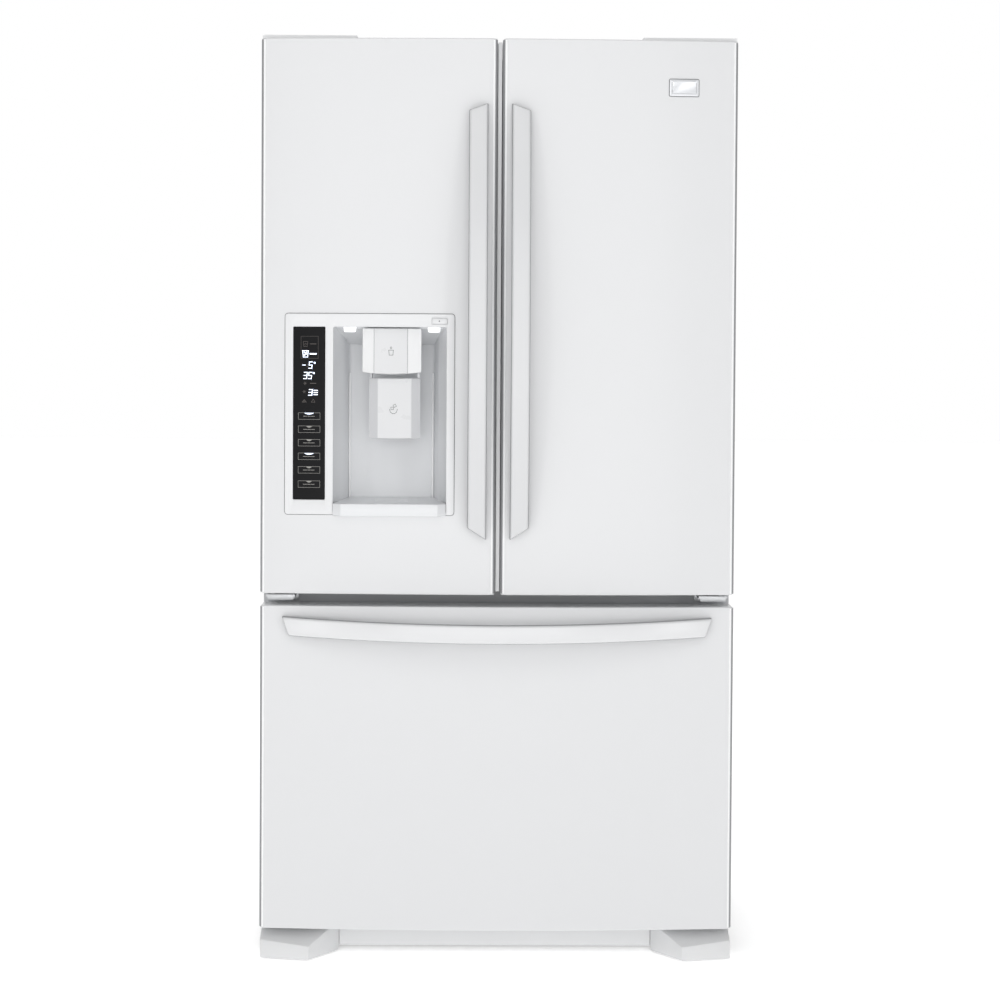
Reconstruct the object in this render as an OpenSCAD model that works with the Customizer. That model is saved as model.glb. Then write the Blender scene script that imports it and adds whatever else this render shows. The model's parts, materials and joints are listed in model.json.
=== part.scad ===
// French door refrigerator: two upper doors, a dispenser in the left one and a freezer drawer
// below. Millimetres, +Z up, front towards -Y, origin on the floor under the middle of the box.

/* [Cabinet] */
// Width over the cabinet's sides
cab_w = 908; // [900:1:912]
// Depth of the cabinet, flange to back panel
cab_d = 733; // [725:1:745]
// Top of the cabinet above the floor
cab_top = 1737; // [1735:1:1745]
// Underside of the cabinet above the floor
cab_bottom = 60; // [58:1:62]
// Thickness of the steel case
case_t = 1.5; // [1:0.1:2]
// Thickness of the plastic liners
liner_t = 2; // [1.5:0.1:2.5]

/* [Compartments] */
// Insulated wall beside the refrigerator compartment
fridge_wall = 50; // [46:1:52]
// Floor of the refrigerator compartment
fridge_floor = 730; // [728:1:731]
// Ceiling of the refrigerator compartment
fridge_top = 1690; // [1686:1:1692]
// Insulated wall beside the freezer compartment
freezer_wall = 62; // [60:1:62]
// Floor of the freezer compartment
freezer_floor = 150; // [146:1:152]
// Ceiling of the freezer compartment
freezer_top = 655; // [653:1:657]

/* [Doors] */
// Thickness of a door at the middle of the front
door_t = 93; // [90:1:95]
// How far the fronts bow forward between the outer edges and the middle
door_bow = 20; // [16:1:24]
// Gap between the two upper doors
door_gap = 10; // [9:1:11]
// Underside of the upper doors
door_z0 = 706; // [705:1:708]
// Top of the upper doors
door_z1 = 1764; // [1762:1:1764]
// Underside of the drawer front
drawer_z0 = 61.5; // [61:0.5:62]
// Top of the drawer front
drawer_z1 = 683; // [680:1:684]
// Thickness of the door skins
skin_t = 1.2; // [1:0.1:1.5]
// Thickness of the magnetic gaskets
gasket_t = 12; // [11:1:13]

/* [Handles] */
// How far the handles stand out from the doors
handle_out = 61; // [56:1:64]
// Width of a handle bar
handle_w = 36; // [34:1:38]
// Thickness of a handle bar
handle_t = 16; // [14:1:18]
// Lower end of the door handles
handle_z0 = 812; // [805:1:820]
// Upper end of the door handles
handle_z1 = 1640; // [1630:1:1650]
// Half length of the drawer handle
pull_half = 411; // [405:1:415]
// Height of the drawer handle's middle line at its ends
pull_z = 645; // [642:1:648]
// How much the drawer handle droops in the middle
pull_droop = 9; // [6:1:12]

/* [Dispenser] */
// Left edge of the dispenser frame
disp_x0 = -407; // [-408:1:-405]
// Right edge of the dispenser frame
disp_x1 = -84; // [-86:1:-83]
// Lower edge of the dispenser frame
disp_z0 = 858; // [857:1:860]
// Upper edge of the dispenser frame
disp_z1 = 1241; // [1238:1:1242]
// Width of the frame's border
disp_border = 15.5; // [15:0.5:16]
// Back of the dispenser recess
recess_back_y = -270; // [-272:1:-268]

/* [Hidden] */
$fn = 48;

half_w = cab_w / 2;
depth = cab_d + gasket_t + door_t + handle_out;
back_y = depth / 2;
flange_y = back_y - cab_d;
liner_y = flange_y - gasket_t;
front_y = liner_y - door_t;
bow_r = (half_w * half_w + door_bow * door_bow) / (2 * door_bow);
skin_back_y = liner_y - 8;
edge_r = 8.5;
fridge_x = half_w - fridge_wall;
freezer_x = half_w - freezer_wall;
fridge_back_y = back_y - 60;
freezer_back_y = back_y - 62;
step_y = 190;
step_z = 372;
machine_y = 240;
machine_x = 440;
machine_top = 320;
base_top = 100;
hinge_x = half_w - 22;
hinge_y = liner_y - 34.5;
handle_x = 40.5;
handle_y = front_y - handle_out;
shelf_front_y = -150;
shelf_back_y = 355;
drawer_front_y = -100;
drawer_back_y = 348;
shelf_levels = [1235, 1455];
crisper_deck_z = 838;
crisper_top_z = 1036;
cover_top = 1772;
roller_r = 22;
roller_x = 420;
roller_y = 385;
axle_r = 4;
running = 0.05;
pin_r = 5;
foot_pin_r = 6;
flap_x = -34;
flap_y = -272;
disp_mid_x = -204;
panel_x0 = disp_x0 + disp_border;
panel_x1 = -330;
window_x0 = -315;
window_x1 = disp_x1 - disp_border + 0.5;
window_z0 = 880;
window_z1 = 1216;
pad_pin_r = 2.5;
rail_len = 460;

// ---- shared shapes ----
module box(x0, x1, y0, y1, z0, z1) {
    translate([x0, y0, z0]) cube([x1 - x0, y1 - y0, z1 - z0]);
}
module both_sides() {
    children();
    mirror([1, 0, 0]) children();
}
// Tub with an open top and walls of one thickness
module tub(x0, x1, y0, y1, z0, z1, t) {
    difference() {
        box(x0, x1, y0, y1, z0, z1);
        box(x0 + t, x1 - t, y0 + t, y1 - t, z0 + t, z1 + 1);
    }
}
function bow_y(x) = front_y + bow_r - sqrt(bow_r * bow_r - x * x);
function corner(cx, cy, r, a0, a1, n = 6) =
    [for (i = [0 : n]) let (a = a0 + (a1 - a0) * i / n) [cx + r * cos(a), cy + r * sin(a)]];
function bowed(x0, x1, shift, n = 14) =
    [for (i = [0 : n]) let (x = x0 + (x1 - x0) * i / n) [x, bow_y(x) + shift]];
// Plan of a door front: bowed face, round edges, straight sides back to y1
module door_plan(x0, x1, r0, r1, inset, y1) {
    polygon(concat(
        [[x0 + inset, y1]],
        corner(x0 + r0, bow_y(x0 + r0) + r0, r0 - inset, 180, 270),
        bowed(x0 + r0, x1 - r1, inset),
        corner(x1 - r1, bow_y(x1 - r1) + r1, r1 - inset, 270, 360),
        [[x1 - inset, y1]]));
}
// Plan of a thin sheet that follows the bowed front, from shift s0 to shift s1 behind it
module bowed_band(x0, x1, s0, s1) {
    polygon(concat(bowed(x0, x1, s0), [for (p = bowed(x1, x0, s1)) p]));
}
// Steel pan that is open at the back
module skin(x0, x1, z0, z1, r0, r1) {
    difference() {
        translate([0, 0, z0]) linear_extrude(z1 - z0) door_plan(x0, x1, r0, r1, 0, skin_back_y);
        translate([0, 0, z0 + skin_t]) linear_extrude(z1 - z0 - 2 * skin_t)
            door_plan(x0, x1, r0, r1, skin_t, skin_back_y + 5);
    }
}
// Foam and liner that fill the pan and close its back with a plastic rim
module door_core(x0, x1, z0, z1, r0, r1) {
    translate([0, 0, z0 + skin_t]) linear_extrude(z1 - z0 - 2 * skin_t)
        door_plan(x0, x1, r0, r1, skin_t, skin_back_y);
    box(x0 + 1, x1 - 1, skin_back_y, liner_y, z0 + 1, z1 - 1);
}
// Frame of rectangular section in the plane of the front
module ring(x0, x1, z0, z1, wide, y0, y1) {
    difference() {
        box(x0, x1, y0, y1, z0, z1);
        box(x0 + wide, x1 - wide, y0 - 1, y1 + 1, z0 + wide, z1 - wide);
    }
}
// Band between two arcs that stands out in the middle of a length, in the u-v plane
function bar_r(half, rise) = (half * half + rise * rise) / (2 * rise);
module arched_band(half, rise, thick) {
    r = bar_r(half, rise);
    a = asin(half / r);
    polygon(concat(
        corner(0, r - rise, r, 270 - a, 270 + a, 24),
        corner(0, r - rise, r - thick, 270 + a, 270 - a, 24)));
}

left_x0 = -half_w;
left_x1 = -door_gap / 2;
right_x0 = door_gap / 2;
right_x1 = half_w;

// ---- cabinet ----
module outer_case() {
    color("white") difference() {
        box(-half_w, half_w, flange_y, back_y - case_t, cab_bottom, cab_top);
        box(-half_w + case_t, half_w - case_t, flange_y + case_t, back_y, 0, cab_top - case_t);
        box(-fridge_x, fridge_x, flange_y - 1, 0, fridge_floor, fridge_top);
        box(-half_w + case_t, half_w - case_t, flange_y - 1, 0, freezer_top, fridge_floor);
        box(-freezer_x, freezer_x, flange_y - 1, 0, freezer_floor, freezer_top);
        box(-half_w + case_t, half_w - case_t, flange_y - 1, 0, 0, base_top);
    }
}
module partition_bar() {
    color("#606468") box(-half_w + case_t, half_w - case_t, flange_y, flange_y + case_t,
        freezer_top, fridge_floor);
}
module back_panel() {
    color("lightgrey") box(-half_w, half_w, back_y - case_t, back_y, machine_top, cab_top);
}
module foam_body() {
    color("khaki") difference() {
        box(-half_w + case_t, half_w - case_t, flange_y + case_t, back_y - case_t,
            base_top, cab_top - case_t);
        box(-fridge_x - liner_t, fridge_x + liner_t, flange_y - 1, fridge_back_y + liner_t,
            fridge_floor - liner_t, fridge_top + liner_t);
        freezer_room(liner_t);
        box(-machine_x, machine_x, machine_y, back_y, 0, machine_top);
    }
}
// Freezer space with its step over the machine compartment, grown by g
module freezer_room(g) {
    box(-freezer_x - g, freezer_x + g, flange_y - 1, step_y + g, freezer_floor - g, freezer_top + g);
    box(-freezer_x - g, freezer_x + g, step_y - 1, freezer_back_y + g, step_z - g, freezer_top + g);
}
module fridge_liner() {
    color("whitesmoke") difference() {
        box(-fridge_x - liner_t, fridge_x + liner_t, flange_y + case_t, fridge_back_y + liner_t,
            fridge_floor - liner_t, fridge_top + liner_t);
        box(-fridge_x, fridge_x, flange_y, fridge_back_y, fridge_floor, fridge_top);
    }
}
module freezer_liner() {
    color("whitesmoke") difference() {
        intersection() {
            freezer_room(liner_t);
            box(-half_w, half_w, flange_y + case_t, back_y, 0, cab_top);
        }
        freezer_room(0);
    }
}
module base_chassis() {
    rail_in = 396;
    color("grey") {
        difference() {
            union() {
                both_sides() box(rail_in, half_w - case_t, flange_y + case_t, back_y - case_t,
                    cab_bottom, base_top);
                box(-rail_in, rail_in, flange_y + case_t, -240, cab_bottom, base_top);
                box(-rail_in, rail_in, 200, 212, cab_bottom, base_top);
                box(-rail_in, rail_in, -240, back_y - case_t, base_top - 3, base_top);
                both_sides() box(398, 402, roller_y - 26, roller_y + 26, 16, cab_bottom);
                both_sides() box(438, 442, roller_y - 26, roller_y + 26, 16, cab_bottom);
                both_sides() translate([398, roller_y, roller_r]) rotate([0, 90, 0])
                    cylinder(r = axle_r, h = 44);
            }
            both_sides() box(402, 438, roller_y - 30, roller_y + 30, cab_bottom - 1, 80);
            both_sides() translate([425, -262, 0]) cylinder(r = 6.5, h = base_top + 1);
        }
    }
}
module levelling_legs() {
    color("dimgrey") both_sides() translate([425, -262, 0]) {
        cylinder(r = 19, h = 9);
        cylinder(r = 6, h = 94);
    }
}
module leg_cover() {
    difference() {
        intersection() {
            translate([0, 0, 3]) linear_extrude(55) polygon([[-half_w + 1, -362], [-358, -384],
                [-304, -302], [-304, -286], [-half_w + 1, -286]]);
            rotate([90, 0, 90]) translate([0, 0, -500]) linear_extrude(1000)
                polygon([[-390, 2], [-390, 27], [-310, 58], [-280, 58], [-280, 2]]);
        }
        intersection() {
            translate([0, 0, 2]) linear_extrude(60) polygon([[-half_w + 4, -356], [-361, -377],
                [-309, -302], [-309, -280], [-half_w + 4, -280]]);
            rotate([90, 0, 90]) translate([0, 0, -500]) linear_extrude(1000)
                polygon([[-390, 1], [-390, 24], [-310, 55], [-279, 55], [-279, 1]]);
        }
    }
}
module leg_covers() {
    color("lightgrey") both_sides() leg_cover();
}
module toe_grille() {
    slots = 18;
    pitch = 32;
    color("lightgrey") {
        box(-303, 303, -300, -296, 12, 58);
        difference() {
            box(-303, 303, -297, -262, 12, 15);
            for (i = [0 : slots - 1], y = [-290, -278])
                box(-288 + i * pitch, -264 + i * pitch, y, y + 6, 11, 16);
        }
        both_sides() box(270, 300, -297, flange_y + case_t + 6, 50, 58);
    }
}
module hinge_cover() {
    cover_y0 = -352;
    cover_in = 273;
    difference() {
        union() {
            box(-half_w + 1, -cover_in, flange_y, -120, cab_top, cover_top);
            box(-half_w + 1, -cover_in, cover_y0, flange_y + 1, door_z1 + 0.8, cover_top);
        }
        box(-half_w + 3.5, -cover_in - 2.5, flange_y + 2.5, -122.5, cab_top - 1, cover_top - 2);
        box(-half_w + 3.5, -cover_in - 2.5, cover_y0 + 2.5, flange_y + 5, door_z1, cover_top - 2);
    }
}
module hinge_covers() {
    color("white") both_sides() hinge_cover();
}
module hinges() {
    arm_z = door_z1 + 1.4;
    plate_z = 697;
    color("silver") both_sides() {
        box(-448, -384, flange_y + 6, -140, cab_top, arm_z + 3.6);
        box(-444, -392, hinge_y - 14, flange_y + 7, arm_z, arm_z + 3.6);
        translate([-hinge_x, hinge_y, arm_z - 24]) cylinder(r = pin_r, h = 25);
        box(-447, -386, flange_y - 4, flange_y, plate_z - 12, plate_z + 7);
        box(-444, -389, hinge_y - 14, flange_y - 2, plate_z, plate_z + 4.5);
        box(-441, -392, hinge_y - 14, hinge_y - 11, plate_z - 6, plate_z + 4.5);
        translate([-hinge_x, hinge_y, plate_z]) cylinder(r = foot_pin_r, h = 32);
    }
}

// ---- inside the refrigerator compartment ----
module shelf_frames() {
    color("white") for (z = shelf_levels) both_sides() {
        difference() {
            box(5, fridge_x - 2, shelf_front_y, shelf_back_y, z - 16, z);
            box(17, fridge_x - 14, shelf_front_y + 22, shelf_back_y - 12, z - 17, z + 1);
        }
    }
}
module shelf_glass() {
    color("paleturquoise", 0.4) {
        for (z = shelf_levels) both_sides()
            box(17, fridge_x - 14, shelf_front_y + 22, shelf_back_y - 12, z - 5, z - 1);
        box(-fridge_x + 20, fridge_x - 20, drawer_front_y + 18, shelf_back_y - 12,
            crisper_top_z + 6, crisper_top_z + 10);
    }
}
module crisper_frame() {
    color("white") {
        difference() {
            box(-fridge_x + 2, fridge_x - 2, drawer_front_y, shelf_back_y, crisper_top_z,
                crisper_top_z + 12);
            box(-fridge_x + 20, fridge_x - 20, drawer_front_y + 18, shelf_back_y - 12,
                crisper_top_z - 1, crisper_top_z + 13);
        }
        box(-4, 4, drawer_front_y, shelf_back_y, crisper_deck_z + 3, crisper_top_z + 6);
        box(-fridge_x + 2, fridge_x - 2, drawer_front_y, shelf_back_y, crisper_deck_z,
            crisper_deck_z + 3);
    }
}
// Food drawer with a thick grip along the top of its front
module food_drawer(x0, x1, z0, z1) {
    tub(x0, x1, drawer_front_y, drawer_back_y, z0, z1, 3);
    box(x0 + 20, x1 - 20, drawer_front_y + 2, drawer_front_y + 16, z1 - 12, z1 - 4);
}
module left_crisper() {
    color("aliceblue", 0.6) food_drawer(-fridge_x + 6, -8, crisper_deck_z + 5, crisper_top_z - 4);
}
module right_crisper() {
    color("aliceblue", 0.6) food_drawer(8, fridge_x - 6, crisper_deck_z + 5, crisper_top_z - 4);
}
module pantry_drawer() {
    color("aliceblue", 0.6) food_drawer(-fridge_x + 6, fridge_x - 6, fridge_floor + 2,
        crisper_deck_z - 3);
}
module air_duct() {
    color("whitesmoke") difference() {
        box(-110, 110, shelf_back_y + 5, fridge_back_y, 1060, 1676);
        for (z = [1110 : 90 : 1640]) both_sides()
            box(40, 86, shelf_back_y, shelf_back_y + 20, z, z + 10);
    }
}

// ---- cold and machine parts ----
module evaporator() {
    fins = 15;
    color("silver") {
        for (z = [410 : 42 : 578]) box(-290, 290, 348, 356, z, z + 8);
        for (i = [0 : fins - 1]) box(-280 + i * 40, -278 + i * 40, 338, 366, 400, 596);
    }
}
module evaporator_cover() {
    color("whitesmoke") difference() {
        box(-freezer_x + 3, freezer_x - 3, 322, 326, step_z + 3, freezer_top - 3);
        translate([0, 330, 622]) rotate([90, 0, 0]) cylinder(r = 26, h = 12);
        for (i = [-5 : 5]) box(i * 50 - 18, i * 50 + 18, 320, 328, 388, 394);
    }
}
// Three blades on a hub that runs on a motor shaft; axis +Z
module fan(r, hub_r, h, shaft_r) {
    difference() {
        union() {
            cylinder(r = hub_r, h = h);
            for (a = [0 : 120 : 240]) rotate([0, 0, a]) translate([0, -hub_r * 0.8, h * 0.3])
                cube([r * 0.94, hub_r * 1.6, h * 0.3]);
        }
        translate([0, 0, -1]) cylinder(r = shaft_r + running, h = h + 2);
    }
}
condenser_fan_pos = [-70, 345, 200];
evaporator_fan_pos = [0, 350, 622];
module condenser_fan() {
    color("black") translate(condenser_fan_pos) rotate([0, 90, 0]) fan(62, 16, 24, 3);
}
module evaporator_fan() {
    color("white") translate(evaporator_fan_pos) rotate([90, 0, 0]) fan(24, 9, 14, 2);
}
module fan_motors() {
    color("dimgrey") {
        translate(condenser_fan_pos) rotate([0, 90, 0]) {
            translate([0, 0, -4]) cylinder(r = 3, h = 34);
            translate([0, 0, 27]) cylinder(r = 22, h = 26);
        }
        box(-38, -22, 325, 365, base_top, 180);
        translate(evaporator_fan_pos) rotate([-90, 0, 0]) {
            translate([0, 0, -16]) cylinder(r = 2, h = 20);
            translate([0, 0, 3]) cylinder(r = 14, h = 32);
        }
    }
}
module compressor() {
    color("#202020") translate([230, 345, 0]) {
        translate([0, 0, 118]) cylinder(r = 78, h = 120);
        translate([0, 0, 238]) cylinder(r1 = 78, r2 = 42, h = 34);
        translate([0, 0, 106]) cylinder(r1 = 60, r2 = 78, h = 12);
        box(-95, 95, -60, 60, base_top + 8, base_top + 12);
        both_sides() for (y = [-48, 48]) translate([84, y, base_top]) cylinder(r = 9, h = 8);
    }
}
module condenser() {
    rows = 8;
    color("dimgrey") {
        for (i = [0 : rows - 1]) box(-410, -180, 290, 390, 112 + i * 24, 116 + i * 24);
        for (x = [-405, -300, -195]) box(x, x + 5, 295, 385, base_top, 300);
    }
}
// Louvred plate, with an access window for the water valve between two plates on its right
module machine_cover() {
    inner_y = back_y - case_t;
    split_x = 366;
    color("grey") {
        difference() {
            box(-half_w + 6, split_x, inner_y, back_y, base_top + 2, machine_top - 2);
            for (i = [0 : 9]) for (x = [-380 : 130 : 20])
                box(x, x + 110, inner_y - 5, back_y + 5, 130 + i * 17, 137 + i * 17);
        }
        box(split_x + 1, half_w - 6, inner_y, back_y, base_top + 2, valve_z - 22);
        box(split_x + 1, half_w - 6, inner_y, back_y, valve_z + 22, machine_top - 2);
    }
}
valve_x = 396;
valve_z = 150;
module water_valve() {
    color("white") difference() {
        union() {
            box(valve_x - 22, valve_x + 22, 385, 425, valve_z - 24, valve_z + 24);
            translate([valve_x, 444, valve_z]) rotate([90, 0, 0]) cylinder(r = 11, h = 22);
            box(valve_x + 20, machine_x, 395, 415, valve_z - 20, valve_z + 20);
        }
        translate([valve_x, 450, valve_z]) rotate([90, 0, 0]) cylinder(r = 3.25, h = 30);
    }
}
module freezer_slides() {
    color("silver") both_sides()
        box(freezer_x - 8, freezer_x, flange_y + 8, flange_y + 8 + rail_len, 300, 344);
}
module roller() {
    difference() {
        translate([406, roller_y, roller_r]) rotate([0, 90, 0]) cylinder(r = roller_r, h = 28);
        translate([400, roller_y, roller_r]) rotate([0, 90, 0]) cylinder(r = axle_r + running, h = 40);
    }
}
module left_roller() {
    color("dimgrey") mirror([1, 0, 0]) roller();
}
module right_roller() {
    color("dimgrey") roller();
}

// ---- parts that both upper doors have ----
// Bores for the two hinge pins
module pin_bores(x) {
    translate([x, hinge_y, door_z1 - 30]) cylinder(r = pin_r + running, h = 40);
    translate([x, hinge_y, door_z0 - 10]) cylinder(r = foot_pin_r + running, h = 40);
}
module door_gasket(x0, x1) {
    ring(x0, x1, door_z0 + 5, 1712, 13, liner_y, flange_y);
}
// Raised rim of the inner liner that the bins hang between
module dyke(x0, x1) {
    ring(x0, x1, 742, 1680, 16, liner_y, -262);
}
module door_bin(x0, x1, y1, z0, z1) {
    tub(x0, x1, liner_y + 1, y1, z0, z1, 3);
}
module grip(x) {
    mid = (handle_z0 + handle_z1) / 2;
    half = (handle_z1 - handle_z0) / 2;
    w = handle_w / 2;
    intersection() {
        translate([x - w, 0, 0]) rotate([90, 0, 90]) linear_extrude(handle_w)
            translate([front_y - handle_t, mid]) rotate(-90)
            arched_band(half, handle_out - handle_t, handle_t);
        rotate([90, 0, 0]) linear_extrude(600) polygon([
            [x + w, handle_z0], [x - w, handle_z0 + 23], [x - w, handle_z1 - 13], [x + w, handle_z1]]);
    }
}

// ---- left door ----
ice_x0 = -385;
ice_x1 = -75;
ice_z0 = 1246;
ice_z1 = 1650;
ice_y1 = -190;
module left_door_skin() {
    color("white") difference() {
        skin(left_x0, left_x1, door_z0, door_z1, edge_r, edge_r);
        box(disp_x0 + 4, disp_x1 - 4, -450, -340, disp_z0 + 4, disp_z1 - 4);
        translate([-hinge_x, hinge_y, door_z0 - 5]) cylinder(r = 9, h = door_z1 - door_z0 + 10);
    }
}
module left_door_liner() {
    color("whitesmoke") difference() {
        union() {
            door_core(left_x0, left_x1, door_z0, door_z1, edge_r, edge_r);
            dyke(-388, -60);
            box(-360, -70, liner_y - 1, -244, 838, ice_z0 + 1);
            box(ice_x0, ice_x1, liner_y - 1, ice_y1, ice_z0, ice_z1);
        }
        box(disp_x0 + 4, disp_x1 - 4, -450, -360, disp_z0 + 4, disp_z1 - 4);
        box(window_x0 - 4, window_x1 + 4, -450, recess_back_y + 3, window_z0 - 18, window_z1 + 4);
        box(ice_x0 + 14, ice_x1 - 14, -366, ice_y1 + 1, ice_z0 + 16, ice_z1 - 14);
        translate([disp_mid_x, -320, 1200]) cylinder(r = 24, h = 80);
        pin_bores(-hinge_x);
    }
}
module left_door_gasket() {
    color("lightgrey") door_gasket(-424, -13);
}
module left_handle() {
    color("white") grip(-handle_x);
}
module left_door_bin() {
    color("aliceblue", 0.6) door_bin(-370, -78, -192, 759, 832);
}
module ice_room_cover() {
    color("white") box(ice_x0 + 2, ice_x1 - 2, ice_y1, ice_y1 + 12, ice_z0 + 2, ice_z1 - 2);
}
module ice_bin() {
    color("aliceblue", 0.6) difference() {
        tub(ice_x0 + 18, ice_x1 - 18, -356, ice_y1 - 6, ice_z0 + 18, 1500, 3);
        translate([disp_mid_x, -320, 1200]) cylinder(r = 22, h = 100);
    }
}
module mullion_flap() {
    color("lightgrey") {
        box(flap_x, 0.5, flange_y + 1, flap_y + 8, fridge_floor + 6, fridge_top - 6);
        box(-20, -4, flap_y + 7, flap_y + 14, fridge_floor + 30, fridge_top - 30);
        translate([flap_x, flap_y, fridge_floor + 6]) cylinder(r = 5, h = fridge_top - fridge_floor - 12);
    }
}
// Border that follows the door's bow, with windows for the panel and the recess
module dispenser_frame() {
    color("white") difference() {
        translate([0, 0, disp_z0]) linear_extrude(disp_z1 - disp_z0)
            bowed_band(disp_x0, disp_x1, -2.5, -0.1);
        frame_windows();
    }
    color("white") difference() {
        translate([0, 0, disp_z0 + 5]) linear_extrude(disp_z1 - disp_z0 - 10)
            bowed_band(disp_x0 + 5, disp_x1 - 5, -0.1, 9);
        frame_windows();
    }
}
module frame_windows() {
    box(panel_x0, panel_x1, -450, -350, 886, window_z1);
    box(window_x0, window_x1, -450, -350, window_z0 - 19, window_z1);
    box(button_x0 - 0.4, button_x1 + 0.4, -450, -350, button_z0 - 0.4, button_z1 + 0.4);
}
module dispenser_recess() {
    color("gainsboro") difference() {
        box(window_x0 - 3.5, window_x1 + 3.5, -368, recess_back_y + 2.5, window_z0 - 17.5, window_z1 + 3.5);
        box(window_x0, window_x1, -390, recess_back_y, window_z0 - 15, window_z1);
        translate([disp_mid_x, -320, 1200]) cylinder(r = 23, h = 80);
    }
}
module control_panel() {
    color("#101012") translate([0, 0, 886.5]) linear_extrude(window_z1 - 887)
        bowed_band(panel_x0 + 0.5, panel_x1 - 0.5, -1.5, 8);
}
pad_x0 = -260;
pad_x1 = -148;
water_pin_z = 1206;
water_pin_y = -352;
ice_pin_z = 1112;
ice_pin_y = -338;
// Housing of the ice chute and the water nozzle, with ears for the pads' pins
module dispenser_hood() {
    color("silver") difference() {
        union() {
            box(-252, -156, -336, recess_back_y, 1150, window_z1);
            translate([disp_mid_x, -306, 1132]) cylinder(r1 = 24, r2 = 30, h = 18);
            for (x = [pad_x0 - 6, pad_x1 + 2]) {
                box(x, x + 4, -360, -300, 1194, window_z1);
                box(x, x + 4, -346, -300, 1102, window_z1);
            }
            box(pad_x0 - 6, pad_x1 + 6, -312, -300, 1150, window_z1);
        }
        translate([disp_mid_x, -306, 1120]) cylinder(r = 21, h = 110);
        for (p = [[water_pin_y, water_pin_z], [ice_pin_y, ice_pin_z]])
            translate([-300, p[0], p[1]]) rotate([0, 90, 0])
                cylinder(r = pad_pin_r + running, h = 180);
    }
}
module pad_pins(y, z) {
    translate([pad_x0 - 6, y, z]) rotate([0, 90, 0]) cylinder(r = pad_pin_r, h = pad_x1 - pad_x0 + 12);
}
module water_pad() {
    color("gainsboro") {
        translate([0, 0, 1126]) linear_extrude(88) polygon([[pad_x0, -358], [-238, -366],
            [-174, -366], [pad_x1, -358], [pad_x1, -354], [pad_x0, -354]]);
        box(pad_x0, pad_x1, -356, -349, water_pin_z - 5, water_pin_z + 4);
        pad_pins(water_pin_y, water_pin_z);
    }
}
module ice_pad() {
    color("silver") {
        translate([0, 0, 1001]) linear_extrude(108) polygon([[-248, -338], [-232, -346],
            [-166, -346], [-150, -338], [-150, -334], [-248, -334]]);
        box(pad_x0, pad_x1, -341, -335, ice_pin_z - 4, ice_pin_z + 3);
        pad_pins(ice_pin_y, ice_pin_z);
    }
}
module dispenser_lamps() {
    color("ivory") {
        box(-297, -272, -364, -352, window_z1 - 9, window_z1);
        box(-136, -111, -364, -352, window_z1 - 9, window_z1);
    }
}
tray_nose = [[window_x0 + 0.5, -386], [window_x0 + 16, -400], [window_x1 - 16, -404],
    [window_x1 - 0.5, -392]];
module drip_tray() {
    color("gainsboro") difference() {
        union() {
            box(window_x0 + 1, window_x1 - 1, -370, recess_back_y - 1, window_z0 - 14, window_z0 - 4);
            translate([0, 0, window_z0 - 17]) linear_extrude(17) polygon(concat(
                tray_nose, [[window_x1 - 0.5, -369], [window_x0 + 0.5, -369]]));
            translate([0, 0, window_z0 - 24]) linear_extrude(20) polygon(concat(
                tray_nose, bowed(window_x1 - 0.5, window_x0 + 0.5, -3)));
        }
        for (i = [-5 : 5]) box(disp_mid_x + i * 16 - 5, disp_mid_x + i * 16 + 5, -360, -284,
            window_z0 - 15, window_z0 - 3);
    }
}
button_x0 = -127;
button_x1 = -98.5;
button_z0 = 1222;
button_z1 = 1233;
module light_button() {
    color("white") translate([0, 0, button_z0]) linear_extrude(button_z1 - button_z0)
        bowed_band(button_x0, button_x1, -4.5, 5);
}

// ---- right door ----
module right_door_skin() {
    color("white") difference() {
        skin(right_x0, right_x1, door_z0, door_z1, edge_r, edge_r);
        translate([hinge_x, hinge_y, door_z0 - 5]) cylinder(r = 9, h = door_z1 - door_z0 + 10);
    }
}
module right_door_liner() {
    color("whitesmoke") difference() {
        union() {
            door_core(right_x0, right_x1, door_z0, door_z1, edge_r, edge_r);
            dyke(60, 388);
        }
        pin_bores(hinge_x);
    }
}
module right_door_gasket() {
    color("lightgrey") door_gasket(13, 424);
}
module right_handle() {
    color("white") mirror([1, 0, 0]) grip(-handle_x);
}
module right_door_bins() {
    color("aliceblue", 0.6) {
        door_bin(78, 370, -192, 760, 850);
        for (z = [1060, 1250, 1440]) door_bin(78, 370, -168, z, z + 96);
    }
}
badge_x = 350;
badge_z = 1674;
module badge_plate() {
    color("silver") translate([0, 0, badge_z - 17]) linear_extrude(34)
        bowed_band(badge_x - 29, badge_x + 29, -2, 0);
}

// ---- freezer drawer ----
module drawer_skin() {
    color("white") skin(-half_w, half_w, drawer_z0, drawer_z1, edge_r, edge_r);
}
module drawer_liner() {
    color("whitesmoke") {
        door_core(-half_w, half_w, drawer_z0, drawer_z1, edge_r, edge_r);
        box(-380, 380, liner_y - 1, flange_y - 1, 158, 646);
    }
}
module drawer_gasket() {
    color("lightgrey") ring(-411, 411, 118, 674, 13, liner_y, flange_y);
}
// Bar that stands out and droops a little in the middle
module drawer_handle() {
    top = pull_z + handle_w / 2;
    r = bar_r(pull_half, pull_droop);
    a = asin(pull_half / r);
    a_low = asin((pull_half - 13) / r);
    color("white") intersection() {
        translate([0, handle_y, top - 2 * handle_w]) linear_extrude(3 * handle_w) pull_plan();
        translate([0, -300, 0]) rotate([90, 0, 0]) linear_extrude(200) polygon(concat(
            corner(0, top + r - pull_droop, r, 270 - a, 270 + a, 24),
            corner(0, top + r - pull_droop - handle_w, r, 270 + a_low, 270 - a_low, 24)));
    }
}
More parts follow.
